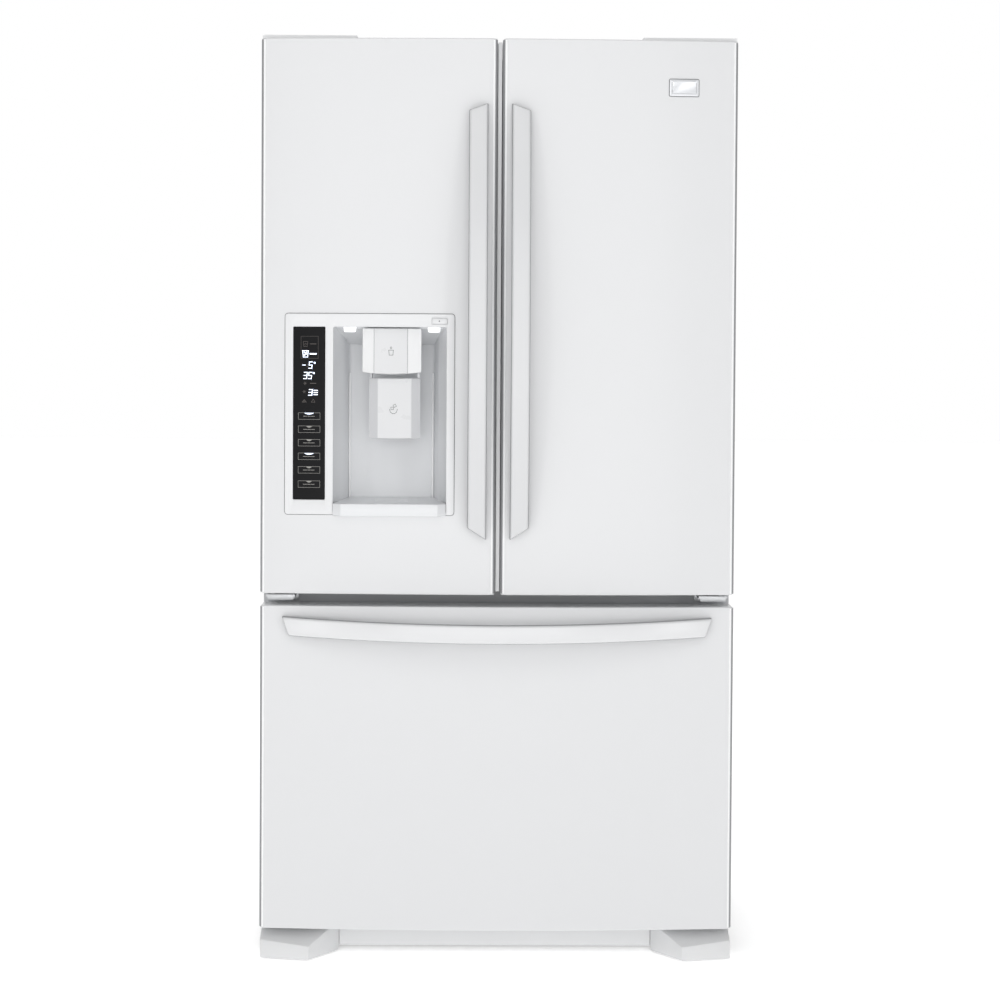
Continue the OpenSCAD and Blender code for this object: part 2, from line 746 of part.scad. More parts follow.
// Plan of the drawer handle, with its back on the bowed front at both ends
module pull_plan() {
    end_y = bow_y(pull_half) - handle_y - handle_t;
    r = bar_r(pull_half, end_y);
    a = asin(pull_half / r);
    polygon(concat(
        corner(0, r, r, 270 - a, 270 + a, 24),
        corner(0, r, r - handle_t, 270 + a, 270 - a, 24)));
}
module freezer_basket() {
    color("white") {
        tub(-358, 358, flange_y - 1, 170, 166, 470, 3);
        both_sides() box(358, 383, flange_y - 1, flange_y - 1 + rail_len, 306, 338);
    }
}
module freezer_tray() {
    color("white") tub(-352, 352, -270, 130, 496, 610, 3);
    color("white") both_sides() box(340, 352, -268, 128, 474, 497);
}

outer_case();
back_panel();
foam_body();
fridge_liner();
freezer_liner();
partition_bar();
base_chassis();
toe_grille();
leg_covers();
levelling_legs();
hinge_covers();
hinges();
shelf_frames();
shelf_glass();
crisper_frame();
air_duct();
evaporator();
evaporator_cover();
fan_motors();
compressor();
condenser();
machine_cover();
water_valve();
freezer_slides();
condenser_fan();
evaporator_fan();
left_roller();
right_roller();
left_crisper();
right_crisper();
pantry_drawer();
left_door_skin();
left_door_liner();
left_door_gasket();
left_handle();
left_door_bin();
ice_room_cover();
ice_bin();
mullion_flap();
dispenser_frame();
dispenser_recess();
control_panel();
dispenser_hood();
dispenser_lamps();
water_pad();
ice_pad();
drip_tray();
light_button();
right_door_skin();
right_door_liner();
right_door_gasket();
right_handle();
right_door_bins();
badge_plate();
drawer_skin();
drawer_liner();
drawer_gasket();
drawer_handle();
freezer_basket();
freezer_tray();
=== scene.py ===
"""French door refrigerator in white enamel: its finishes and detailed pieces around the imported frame."""
import json
import math

import bmesh
import bpy
from mathutils import Matrix, Vector


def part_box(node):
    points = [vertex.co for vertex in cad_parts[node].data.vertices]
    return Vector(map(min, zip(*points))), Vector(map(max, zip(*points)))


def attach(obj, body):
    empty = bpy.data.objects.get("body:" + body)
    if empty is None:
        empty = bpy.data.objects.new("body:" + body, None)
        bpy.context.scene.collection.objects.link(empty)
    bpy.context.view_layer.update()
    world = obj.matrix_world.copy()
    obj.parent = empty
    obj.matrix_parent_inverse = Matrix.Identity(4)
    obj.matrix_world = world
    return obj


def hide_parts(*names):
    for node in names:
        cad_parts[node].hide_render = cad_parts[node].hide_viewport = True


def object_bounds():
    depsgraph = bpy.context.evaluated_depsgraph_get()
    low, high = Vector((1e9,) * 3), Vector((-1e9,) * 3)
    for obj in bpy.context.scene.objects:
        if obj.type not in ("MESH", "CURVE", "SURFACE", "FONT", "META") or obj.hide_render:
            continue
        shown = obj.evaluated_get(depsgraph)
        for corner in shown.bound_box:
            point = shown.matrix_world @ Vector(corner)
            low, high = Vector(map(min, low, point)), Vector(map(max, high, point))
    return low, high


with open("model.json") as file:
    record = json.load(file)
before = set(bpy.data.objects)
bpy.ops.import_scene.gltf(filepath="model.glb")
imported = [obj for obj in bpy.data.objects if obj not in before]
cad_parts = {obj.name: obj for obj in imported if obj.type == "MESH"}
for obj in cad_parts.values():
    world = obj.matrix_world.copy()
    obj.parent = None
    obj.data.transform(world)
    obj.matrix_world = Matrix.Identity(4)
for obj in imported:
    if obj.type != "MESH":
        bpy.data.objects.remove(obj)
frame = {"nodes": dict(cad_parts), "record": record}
cad_low, cad_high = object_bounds()

# ---- Studio ----
# A white room that looks white wherever the camera sees it, but lights the object less from the sides,
# with a pale floor, a large soft box behind the camera and four smaller ones round the object.
# The camera stands a little left of the middle at chest height, as for a shop's front view.
def feed(node, inputs):
    """Gives each named input of a node a value, the output of another node, or a list of outputs"""
    for label, value in inputs.items():
        sources = value if isinstance(value, list) else [value]
        if isinstance(sources[0], bpy.types.NodeSocket):
            for source in sources:
                node.id_data.links.new(source, node.inputs[label])
        else:
            node.inputs[label].default_value = value


def add_node(tree, kind, inputs, **settings):
    node = tree.nodes.new(kind)
    for name, value in settings.items():
        setattr(node, name, value)
    feed(node, inputs)
    return node


def ramp(tree, value, start, end, low, high):
    """Output that goes from low to high while the value goes from start to end"""
    return add_node(tree, "ShaderNodeMapRange", {"Value": value, "From Min": start, "From Max": end,
                                                 "To Min": low, "To Max": high}).outputs["Result"]


floor_mesh = bpy.data.meshes.new("studio_floor")
floor_mesh.from_pydata([(-30, -30, 0), (30, -30, 0), (30, 30, 0), (-30, 30, 0)], [], [(0, 1, 2, 3)])
studio_floor = bpy.data.objects.new("studio_floor", floor_mesh)
bpy.context.scene.collection.objects.link(studio_floor)
floor_paint = bpy.data.materials.new("studio_floor_paint")
floor_paint.use_nodes = True
feed(floor_paint.node_tree.nodes["Principled BSDF"],
     {"Base Color": (0.95, 0.95, 0.95, 1), "Roughness": 0.6, "Emission Color": (1, 1, 1, 1),
      "Emission Strength": 0.45})
floor_mesh.materials.append(floor_paint)

room = bpy.data.worlds.new("studio_room")
bpy.context.scene.world = room
room.use_nodes = True
sky = room.node_tree
direction = add_node(sky, "ShaderNodeTexCoord", {}).outputs["Generated"]
parts = add_node(sky, "ShaderNodeSeparateXYZ", {"Vector": direction})
sideways = add_node(sky, "ShaderNodeMath", {0: parts.outputs["X"]}, operation="ABSOLUTE").outputs[0]
backdrop = ramp(sky, sideways, 0.25, 0.42, 1.0, 0.3)
ahead = ramp(sky, parts.outputs["Y"], -0.1, 0.15, 0.0, 1.0)
behind = ramp(sky, sideways, 0.45, 0.9, 0.66, 0.18)
walls = add_node(sky, "ShaderNodeMix", {"A": behind, "Factor": ahead, "B": backdrop}, data_type="FLOAT")
seen = add_node(sky, "ShaderNodeLightPath", {}).outputs["Is Camera Ray"]
paper = add_node(sky, "ShaderNodeMix", {"B": 1.0, "Factor": seen, "A": walls.outputs["Result"]},
                 data_type="FLOAT")
feed(sky.nodes["Background"], {"Color": paper.outputs["Result"], "Strength": 1.0})
bpy.context.scene.view_settings.view_transform = "Standard"
bpy.context.scene.view_settings.look = "None"


def soft_box(name, place, target, width, height, watts):
    lamp = bpy.data.lights.new(name, "AREA")
    lamp.shape = "RECTANGLE"
    lamp.size, lamp.size_y = width, height
    lamp.energy = watts
    holder = bpy.data.objects.new(name, lamp)
    holder.location = place
    holder.rotation_euler = (Vector(target) - Vector(place)).to_track_quat("-Z", "Y").to_euler()
    bpy.context.scene.collection.objects.link(holder)


soft_box("front_box", (-0.1, -5.2, 1.3), (0, -0.3, 1.2), 3.0, 2.4, 31)
soft_box("key_box", (-0.5, -3.6, 3.9), (0, -0.3, 1.3), 2.6, 1.8, 16)
soft_box("left_strip", (-2.6, -3.9, 1.4), (0, -0.3, 1.0), 0.5, 3.0, 12)
soft_box("right_strip", (2.6, -3.9, 1.4), (0, -0.3, 1.0), 0.5, 3.0, 12)
soft_box("rear_box", (-1.2, 4.2, 3.6), (0, 0.6, 0.6), 2.6, 2.2, 40)

camera_data = bpy.data.cameras.new("studio_camera")
sensor_width, lens_per_width = 36.0, 2.3713
camera_data.sensor_width = sensor_width
camera_data.lens = sensor_width * lens_per_width
camera_data.shift_y = -0.07
camera_data.clip_end = 100
camera = bpy.data.objects.new("studio_camera", camera_data)
bpy.context.scene.collection.objects.link(camera)
camera_pitch, camera_yaw, camera_roll = math.radians(1.634), math.radians(0.8275), math.radians(0.3394)
camera.rotation_mode = "QUATERNION"
camera.rotation_quaternion = (
    Matrix.Rotation(-camera_yaw, 4, "Z")
    @ Matrix.Rotation(math.pi / 2 - camera_pitch, 4, "X")
    @ Matrix.Rotation(camera_roll, 4, "Z")
).to_quaternion()
camera.location = (-0.062, -4.9, 1.15)
bpy.context.scene.camera = camera

# ---- Cabinet case ----
# Pre-painted steel sheet folded over the sides and the top, with a flange round both openings.
# The white enamel has the faint orange peel and slow unevenness of powder coat.
case_low, case_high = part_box("outer_case")
half_width = case_high.x
sheet = 0.0015
body_of = {n: b for b, ns in frame["record"]["behaviour"]["bodies"].items() for n in ns}


def finish_coat(name, colour, rough, metal=0.0, coat=0.0, drift=0.02, drift_size=0.5, smudge=0.05,
                smudge_size=0.04, grain=0.0, grain_size=0.002, stretch=(1, 1, 1), alpha=1.0, shine=0.5):
    """Surface with slow colour drift, uneven gloss and a fine relief, all in object space"""
    coat_material = bpy.data.materials.new(name)
    coat_material.use_nodes = True
    tree = coat_material.node_tree
    place = add_node(tree, "ShaderNodeTexCoord", {}).outputs["Object"]
    mapping = add_node(tree, "ShaderNodeMapping", {"Scale": stretch, "Vector": place}).outputs["Vector"]

    def noise(size, detail):
        return add_node(tree, "ShaderNodeTexNoise", {"Scale": 1.0 / size, "Detail": detail,
                                                     "Vector": mapping}).outputs["Fac"]

    tint = add_node(tree, "ShaderNodeMix", {"A": (*[c * (1 - drift) for c in colour], 1),
                                            "B": (*[min(1, c * (1 + drift)) for c in colour], 1),
                                            "Factor": noise(drift_size, 3)},
                    data_type="RGBA").outputs["Result"]
    gloss = ramp(tree, noise(smudge_size, 4), 0.15, 0.85, max(0.02, rough - smudge),
                 min(1.0, rough + smudge))
    shader = tree.nodes["Principled BSDF"]
    feed(shader, {"Metallic": metal, "Coat Weight": coat, "Coat Roughness": 0.12, "Alpha": alpha,
                  "Specular IOR Level": shine, "Base Color": tint, "Roughness": gloss})
    if grain:
        relief = add_node(tree, "ShaderNodeBump", {"Strength": 1.0, "Distance": grain,
                                                   "Height": noise(grain_size, 2)})
        feed(shader, {"Normal": relief.outputs["Normal"]})
    return coat_material


white_enamel = finish_coat("white_enamel", (0.715, 0.72, 0.73), 0.30, coat=0.35, drift=0.006,
                           drift_size=0.7, smudge=0.012, smudge_size=0.12, grain=0.000006,
                           grain_size=0.0035)


def add_piece(name, mesh, coat, body, replaced=(), crease=32):
    """Puts a finished mesh on its body, smooth except along edges sharper than the crease angle"""
    mesh.name = name
    mesh.polygons.foreach_set("use_smooth", [True] * len(mesh.polygons))
    mesh.set_sharp_from_angle(angle=math.radians(crease))
    mesh.materials.clear()
    mesh.materials.append(coat)
    piece = bpy.data.objects.new(name, mesh)
    bpy.context.scene.collection.objects.link(piece)
    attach(piece, body)
    if replaced:
        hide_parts(*replaced)


def round_rect(a0, a1, b0, b1, r, n=6):
    """Corner-rounded rectangle as points, anticlockwise"""
    points = []
    for ca, cb, start in ((a1 - r, b0 + r, -90), (a1 - r, b1 - r, 0), (a0 + r, b1 - r, 90),
                          (a0 + r, b0 + r, 180)):
        for i in range(n + 1):
            t = math.radians(start + 90 * i / n)
            points.append((ca + r * math.cos(t), cb + r * math.sin(t)))
    return points


def front_rect(low, high, inset, r, n=6):
    """Rounded outline of a box seen from the front, pulled in by the inset"""
    return round_rect(low.x + inset, high.x - inset, low.z + inset, high.z - inset, r, n)


def at_x(x, ring):
    """Outline of (y, z) points as a ring at one X; at_y and at_z do the same along the other axes"""
    return [(x, y, z) for y, z in ring]


def at_y(y, ring):
    return [(x, y, z) for x, z in ring]


def at_z(z, ring):
    return [(x, y, z) for x, y in ring]


def skin_over(bm, rings, closed=False):
    """Adds a capped surface through rings of equal length; closed joins its ends instead"""
    loops = [[bm.verts.new(p) for p in ring] for ring in rings]
    count = len(loops[0])
    pairs = list(zip(loops, loops[1:])) + ([(loops[-1], loops[0])] if closed else [])
    for low, high in pairs:
        for i in range(count):
            j = (i + 1) % count
            bm.faces.new((low[i], low[j], high[j], high[i]))
    if not closed:
        bm.faces.new(loops[0])
        bm.faces.new(loops[-1])


def to_mesh(bm):
    """Turns a bmesh into a mesh with doubled points merged and faces pointing outwards"""
    bmesh.ops.remove_doubles(bm, verts=bm.verts, dist=1e-6)
    bmesh.ops.recalc_face_normals(bm, faces=bm.faces)
    mesh = bpy.data.meshes.new("piece")
    bm.to_mesh(mesh)
    bm.free()
    return mesh


def skinned(*stacks, closed=False):
    """Mesh skinned through each of the given stacks of rings"""
    bm = bmesh.new()
    for rings in stacks:
        skin_over(bm, rings, closed)
    return to_mesh(bm)


def broken_edges(node, radius, coat, steps=2):
    """CAD shape with its corners rounded, as bending and moulding leave them"""
    bm = bmesh.new()
    bm.from_mesh(frame["nodes"][node].data)
    bmesh.ops.remove_doubles(bm, verts=bm.verts, dist=1e-5)
    bmesh.ops.dissolve_limit(bm, angle_limit=math.radians(0.5), verts=bm.verts, edges=bm.edges)
    corners = [e for e in bm.edges if len(e.link_faces) == 2 and e.calc_face_angle(0) > math.radians(40)]
    bmesh.ops.bevel(bm, geom=corners, offset=radius, offset_type="OFFSET", segments=steps, profile=0.5,
                    affect="EDGES", clamp_overlap=True)
    bmesh.ops.triangulate(bm, faces=[f for f in bm.faces if len(f.verts) > 4])
    mesh = bpy.data.meshes.new(node)
    bm.to_mesh(mesh)
    bm.free()
    add_piece(node + "_made", mesh, coat, body_of[node], (node,))


bm = bmesh.new()
wrap_outer = round_rect(-half_width, half_width, case_low.z - 0.05, case_high.z, 0.007)
wrap_inner = round_rect(-half_width + sheet, half_width - sheet, case_low.z - 0.05, case_high.z - sheet,
                        0.0055)
wrap_outer = [(x, max(z, case_low.z)) for x, z in wrap_outer]
wrap_inner = [(x, max(z, case_low.z)) for x, z in wrap_inner]
wrap_rings = []
for y, inset, ring in ((case_low.y + 0.002, 0.0, wrap_outer), (case_high.y, 0.0, wrap_outer),
                       (case_high.y, 0.0, wrap_inner), (case_low.y + 0.001, 0.0, wrap_inner),
                       (case_low.y, 0.0015, wrap_inner), (case_low.y + 0.0005, 0.0005, wrap_outer)):
    wrap_rings.append(at_y(y, ring))
skin_over(bm, wrap_rings, closed=True)
fridge_low, fridge_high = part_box("fridge_liner")
freezer_low, freezer_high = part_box("freezer_liner")
bar_low, bar_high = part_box("partition_bar")
liner_sheet = 0.002
flange_x = half_width - sheet
for z0, z1, low, high in ((bar_high.z, case_high.z - sheet, fridge_low, fridge_high),
                          (0.1, bar_low.z, freezer_low, freezer_high)):
    outer = round_rect(-flange_x, flange_x, z0, z1, 0.002)
    inner = front_rect(low, high, liner_sheet, 0.014)
    skin_over(bm, [at_y(case_low.y, outer), at_y(case_low.y, inner), at_y(case_low.y + sheet, inner),
                   at_y(case_low.y + sheet, outer)], closed=True)
add_piece("cabinet_case", to_mesh(bm), white_enamel, "cabinet", ("outer_case",))

# Cream foam fills the case behind the liners; its back lies flat against the sheet.
foam_coat = finish_coat("foam", (0.80, 0.72, 0.50), 0.85, grain=0.0004, grain_size=0.002, drift=0.06)
panel_low, panel_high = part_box("back_panel")
sheet_back = panel_high.y
screw_head = 0.0022
foam_mesh = frame["nodes"]["foam_body"].data.copy()
for v in foam_mesh.vertices:
    if v.co.y > panel_low.y - 0.001:
        v.co.y -= 0.004
add_piece("foam_fill", foam_mesh, foam_coat, "cabinet", ("foam_body",))

# ---- Back panel ----
# Galvanised sheet with two pressed beads, held by a row of screws down each side and along the top.
# The zinc shows its large soft crystals and a brushed direction.
zinc = finish_coat("zinc_steel", (0.56, 0.57, 0.58), 0.38, metal=1.0, drift=0.10, drift_size=0.018,
                   smudge=0.08, smudge_size=0.012, grain=0.00001, grain_size=0.001)
field = sheet_back - screw_head
bm = bmesh.new()
sheet_rings = []
for inset, depth in ((0.001, -0.001), (0.001, 0.0), (0.050, 0.0), (0.0515, -0.0005), (0.054, -0.0019),
                     (0.0575, -0.0022), (0.0635, -0.0022), (0.067, -0.0019), (0.0695, -0.0005),
                     (0.071, 0.0)):
    sheet_rings.append(at_y(field + depth, front_rect(panel_low, panel_high, inset,
                                                      max(0.004, 0.036 - abs(inset - 0.036) * 0.4))))
skin_over(bm, sheet_rings)
for side in (-1, 1):
    x0, x1 = sorted((side * 0.4395, side * (half_width - sheet)))
    skin_over(bm, [at_y(field + depth, round_rect(x0, x1, 0.101, panel_low.z + 0.002, 0.001))
                   for depth in (-0.001, 0.0)])
add_piece("back_sheet", to_mesh(bm), zinc, "cabinet", ("back_panel",))


def new_tree(name, inputs):
    """Geometry Nodes tree with named inputs and one geometry output"""
    tree = bpy.data.node_groups.new(name, "GeometryNodeTree")
    tree.interface.new_socket(name="Geometry", in_out="INPUT", socket_type="NodeSocketGeometry")
    for label, kind in inputs:
        tree.interface.new_socket(name=label, in_out="INPUT", socket_type="NodeSocket" + kind)
    tree.interface.new_socket(name="Geometry", in_out="OUTPUT", socket_type="NodeSocketGeometry")
    return tree, tree.nodes.new("NodeGroupInput"), tree.nodes.new("NodeGroupOutput")


def grow(tree, name, points, settings, coat, body):
    """Runs a tree once on the given points and keeps the result as a plain mesh on one body"""
    seed = bpy.data.meshes.new(name + "_seed")
    seed.from_pydata(points, [], [])
    holder = bpy.data.objects.new(name + "_seed", seed)
    bpy.context.scene.collection.objects.link(holder)
    modifier = holder.modifiers.new("tree", "NODES")
    modifier.node_group = tree
    sockets = {s.name: s.identifier for s in tree.interface.items_tree if s.in_out == "INPUT"}
    for label, value in settings.items():
        modifier[sockets[label]] = value
    modifier[sockets["Coat"]] = coat
    evaluated = holder.evaluated_get(bpy.context.evaluated_depsgraph_get())
    mesh = bpy.data.meshes.new_from_object(evaluated)
    bpy.data.objects.remove(holder)
    add_piece(name, mesh, coat, body)


def times(value, factor):
    """Output of a tree multiplied by a factor"""
    return add_node(value.id_data, "ShaderNodeMath", {0: value, 1: factor},
                    operation="MULTIPLY").outputs[0]


def end_tree(instances, given, result):
    """Makes a tree's instances real, gives them the coat and passes them out"""
    tree = given.id_data
    real = add_node(tree, "GeometryNodeRealizeInstances", {"Geometry": instances.outputs["Instances"]})
    paint = add_node(tree, "GeometryNodeSetMaterial", {"Geometry": real.outputs["Geometry"],
                                                       "Material": given.outputs["Coat"]})
    feed(result, {"Geometry": paint.outputs["Geometry"]})


# Pan-head screw on each point: a washer face, a domed head and a cross cut into it.
screws, given, result = new_tree("cross_head_screws", [
    ("Head Radius", "Float"), ("Head Height", "Float"), ("Turn", "Rotation"), ("Coat", "Material")])
head_radius, head_height = given.outputs["Head Radius"], given.outputs["Head Height"]
flange_disc = add_node(screws, "GeometryNodeMeshCylinder", {"Vertices": 20, "Radius": head_radius,
                                                            "Depth": times(head_height, 0.5)})
head = add_node(screws, "GeometryNodeMeshCone", {
    "Vertices": 20, "Radius Bottom": times(head_radius, 0.86), "Radius Top": times(head_radius, 0.62),
    "Depth": head_height})
cross = add_node(screws, "GeometryNodeJoinGeometry", {"Geometry": [
    add_node(screws, "GeometryNodeMeshCube", {"Size": size}).outputs["Mesh"]
    for size in ((1.0, 0.22, 0.9), (0.22, 1.0, 0.9))]})
cross_size = add_node(screws, "ShaderNodeCombineXYZ", {"X": head_radius, "Y": head_radius,
                                                       "Z": head_height})
cross_lift = add_node(screws, "ShaderNodeCombineXYZ", {"Z": head_height})
fitted_cross = add_node(screws, "GeometryNodeTransform", {
    "Geometry": cross.outputs["Geometry"], "Scale": cross_size.outputs["Vector"],
    "Translation": cross_lift.outputs["Vector"]})
crossed = add_node(screws, "GeometryNodeMeshBoolean", {
    "Mesh 1": head.outputs["Mesh"], "Mesh 2": fitted_cross.outputs["Geometry"]}, operation="DIFFERENCE",
    solver="EXACT")
screw_body = add_node(screws, "GeometryNodeJoinGeometry", {"Geometry": [flange_disc.outputs["Mesh"],
                                                                        crossed.outputs["Mesh"]]})
driven = add_node(screws, "GeometryNodeInstanceOnPoints", {
    "Points": given.outputs["Geometry"], "Instance": screw_body.outputs["Geometry"],
    "Rotation": given.outputs["Turn"]})
end_tree(driven, given, result)


def drive_screws(name, points, turn, body, radius=0.0042, coat=zinc):
    """Cross-head screws at the given points; turn is the head's direction as Euler angles"""
    grow(screws, name, points, {"Head Radius": radius, "Head Height": 0.0022, "Turn": turn}, coat,
         body)


facing_back = (-math.pi / 2, 0, 0)
facing_front = (math.pi / 2, 0, 0)
facing_up = (0, 0, 0)
screw_steel = finish_coat("screw_steel", (0.34, 0.345, 0.35), 0.35, metal=1.0, drift=0.06, smudge=0.1,
                          smudge_size=0.004, grain=0.000005, grain_size=0.0005)
back_screws = [(side * (panel_high.x - 0.014), field, panel_low.z + 0.03 + i * 0.169)
               for side in (-1, 1) for i in range(9)]
back_screws += [(-0.36 + i * 0.18, field, panel_high.z - 0.02) for i in range(5)]
drive_screws("back_panel_screws", back_screws, facing_back, "cabinet", 0.0048, screw_steel)

# ---- Refrigerator and freezer liners ----
# Vacuum-formed white plastic tubs with rounded corners; ribs moulded in the side walls carry the shelves.
# The plastic is satin, a little cooler than the enamel.
liner_white = finish_coat("liner_white", (0.80, 0.815, 0.83), 0.36, drift=0.015, smudge=0.06,
                          grain=0.00003, grain_size=0.0022)
liner_front = case_low.y + sheet


def formed_tub(low, high, radius):
    """Open-fronted tub of thin sheet: outside, front lip, inside and back, with rounded inner corners"""
    t = liner_sheet
    outer = front_rect(low, high, 0, 0.010)
    mouth = front_rect(low, high, t, 0.014)
    rings = [(outer, high.y), (outer, liner_front), (mouth, liner_front)]
    for k in range(5):
        turn = math.radians(90 * k / 4)
        inset = radius * (1 - math.cos(turn))
        depth = high.y - t - radius + radius * math.sin(turn)
        rings.append((front_rect(low, high, t + inset, 0.014), depth))
    return [at_y(y, ring) for ring, y in rings]


add_piece("fridge_tub", skinned(formed_tub(fridge_low, fridge_high, 0.012)), liner_white,
          "cabinet", ("fridge_liner",))
broken_edges("freezer_liner", 0.0006, liner_white)
dark_trim = finish_coat("dark_trim", (0.085, 0.088, 0.092), 0.55, drift=0.05, smudge=0.1, grain=0.00003,
                        grain_size=0.0012)
strip_grey = finish_coat("strip_grey", (0.50, 0.51, 0.525), 0.5, drift=0.05, smudge=0.1, grain=0.00002,
                         grain_size=0.001)
broken_edges("partition_bar", 0.0005, strip_grey)

# Row of equal bars with rounded edges: ribs, louvres, grille slats and tray grids are all made by it.
slats, given, result = new_tree("row_of_slats", [
    ("Count", "Int"), ("Step", "Vector"), ("Length", "Float"), ("Width", "Float"), ("Thickness", "Float"),
    ("Edge", "Float"), ("Turn", "Rotation"), ("Coat", "Material")])
section = add_node(slats, "GeometryNodeCurvePrimitiveQuadrilateral",
                   {"Width": given.outputs["Width"], "Height": given.outputs["Thickness"]})
eased = add_node(slats, "GeometryNodeFilletCurve", {
    "Count": 2, "Curve": section.outputs["Curve"], "Radius": given.outputs["Edge"]}, mode="POLY")
spine = add_node(slats, "GeometryNodeCurvePrimitiveLine", {})
for end, factor in (("Start", -0.5), ("End", 0.5)):
    tip = add_node(slats, "ShaderNodeCombineXYZ", {"X": times(given.outputs["Length"], factor)})
    feed(spine, {end: tip.outputs["Vector"]})
bar = add_node(slats, "GeometryNodeCurveToMesh", {
    "Fill Caps": True, "Curve": spine.outputs["Curve"], "Profile Curve": eased.outputs["Curve"]})
places = add_node(slats, "GeometryNodeMeshLine", {"Count": given.outputs["Count"],
                                                  "Offset": given.outputs["Step"]})
row = add_node(slats, "GeometryNodeInstanceOnPoints", {
    "Points": places.outputs["Mesh"], "Instance": bar.outputs["Mesh"], "Rotation": given.outputs["Turn"]})
rows = add_node(slats, "GeometryNodeInstanceOnPoints", {"Points": given.outputs["Geometry"],
                                                        "Instance": row.outputs["Instances"]})
end_tree(rows, given, result)


def row_of_slats(name, starts, count, step, length, width, thickness, edge, turn, coat, body):
    """Rows of bars that begin at the given points; each bar lies along X before it is turned"""
    grow(slats, name, starts, {"Count": count, "Step": step, "Length": length, "Width": width,
                               "Thickness": thickness, "Edge": edge, "Turn": turn}, coat, body)


shelf_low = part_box("shelf_frames")[0]
quarter = math.pi / 2
lengthways = (0, 0, quarter)
rib_x = fridge_high.x - liner_sheet
row_of_slats("shelf_ribs", [(side * rib_x, 0.08, shelf_low.z - 0.006) for side in (-1, 1)], 2,
             (0, 0, 0.22), 0.40, 0.010, 0.007, 0.003, lengthways, liner_white, "cabinet")
duct_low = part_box("air_duct")[0]

# ---- Shelves, crisper frame and air duct ----
# Tempered glass plates in white moulded frames with a raised front lip; the duct on the back wall has
# slotted outlets, and a round-cornered lamp sits in the ceiling.
white_plastic = finish_coat("white_plastic", (0.81, 0.815, 0.82), 0.32, coat=0.15, drift=0.01,
                            smudge=0.05, grain=0.00002, grain_size=0.0015)
shelf_glass = finish_coat("shelf_glass", (0.78, 0.90, 0.88), 0.05, alpha=0.32, drift=0.01, smudge=0.02)
for node, radius in (("shelf_frames", 0.003), ("crisper_frame", 0.0012)):
    broken_edges(node, radius, white_plastic)
broken_edges("shelf_glass", 0.0012, shelf_glass)
broken_edges("air_duct", 0.004, liner_white, steps=3)
lamp_glow = finish_coat("lamp_lens", (0.88, 0.88, 0.86), 0.4, drift=0.01, smudge=0.05, grain=0.0001,
                        grain_size=0.003)
ceiling = fridge_high.z - liner_sheet
lens_rings = []
for inset, drop in ((0, 0), (0, 0.006), (0.002, 0.009), (0.006, 0.011), (0.02, 0.0125)):
    lens = round_rect(-0.12 + inset, 0.12 - inset, -0.10 + inset, -0.02 - inset, 0.02)
    lens_rings.append(at_z(ceiling - drop, lens))
add_piece("ceiling_lamp", skinned(lens_rings), lamp_glow, "cabinet")
row_of_slats("duct_slats", [(side * 0.063, duct_low.y + 0.004, duct_low.z + 0.0525 + i * 0.09)
                            for side in (-1, 1) for i in range(6)], 3, (0, 0, 0.0035), 0.046, 0.008,
             0.0012, 0.0004, (0.5, 0, 0), liner_white, "cabinet")

# ---- Crispers and pantry drawer ----
# Clear moulded drawers with drafted walls, a rolled rim and a thick frosted grip along the front.
clear_plastic = finish_coat("clear_plastic", (0.84, 0.92, 0.96), 0.12, alpha=0.42, drift=0.02,
                            smudge=0.05, grain=0.00001, grain_size=0.003)
frosted = finish_coat("frosted_plastic", (0.86, 0.91, 0.94), 0.42, alpha=0.85, drift=0.02, smudge=0.06,
                      grain=0.00003, grain_size=0.0008)


def moulded_tub(low, high, wall, draft=0.006, corner=0.02, rim=0.004, fillet=0.006):
    """Open-topped tub: drafted outside, rolled rim, inside and floor"""
    def ring(inset, z):
        return at_z(z, round_rect(low.x + inset, high.x - inset, low.y + inset, high.y - inset,
                                  max(0.002, corner - inset)))
    rings = [ring(rim + draft + fillet, low.z), ring(rim + draft + 0.3 * fillet, low.z + 0.25 * fillet),
             ring(rim + draft, low.z + fillet), ring(rim, high.z - 0.014),
             ring(rim * 0.4, high.z - 0.012), ring(0, high.z - 0.009), ring(0, high.z - 0.003),
             ring(0.0012, high.z - 0.0008), ring(0.003, high.z), ring(rim + wall - 0.001, high.z),
             ring(rim + wall, high.z - 0.0015), ring(rim + draft + wall, low.z + wall + fillet),
             ring(rim + draft + wall + 0.4 * fillet, low.z + wall + 0.3 * fillet),
             ring(rim + draft + wall + fillet, low.z + wall)]
    return rings


def front_grip(x0, x1, y, z, depth, height):
    """Rounded bar along the top of a drawer front"""
    rings = []
    for inset, x in ((0.003, x0), (0, x0 + 0.004), (0, x1 - 0.004), (0.003, x1)):
        rings.append(at_x(x, round_rect(y + inset, y + depth - inset, z - height + inset, z - inset,
                                        0.0045 - inset * 0.8)))
    return rings


for node in ("left_crisper", "right_crisper", "pantry_drawer"):
    low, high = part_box(node)
    add_piece(node + "_tub", skinned(moulded_tub(low, high, 0.003)), clear_plastic, node,
              (node,))
    grip = front_grip(low.x + 0.03, high.x - 0.03, low.y + 0.001, high.z - 0.003, 0.014, 0.020)
    add_piece(node + "_grip", skinned(grip), frosted, node)

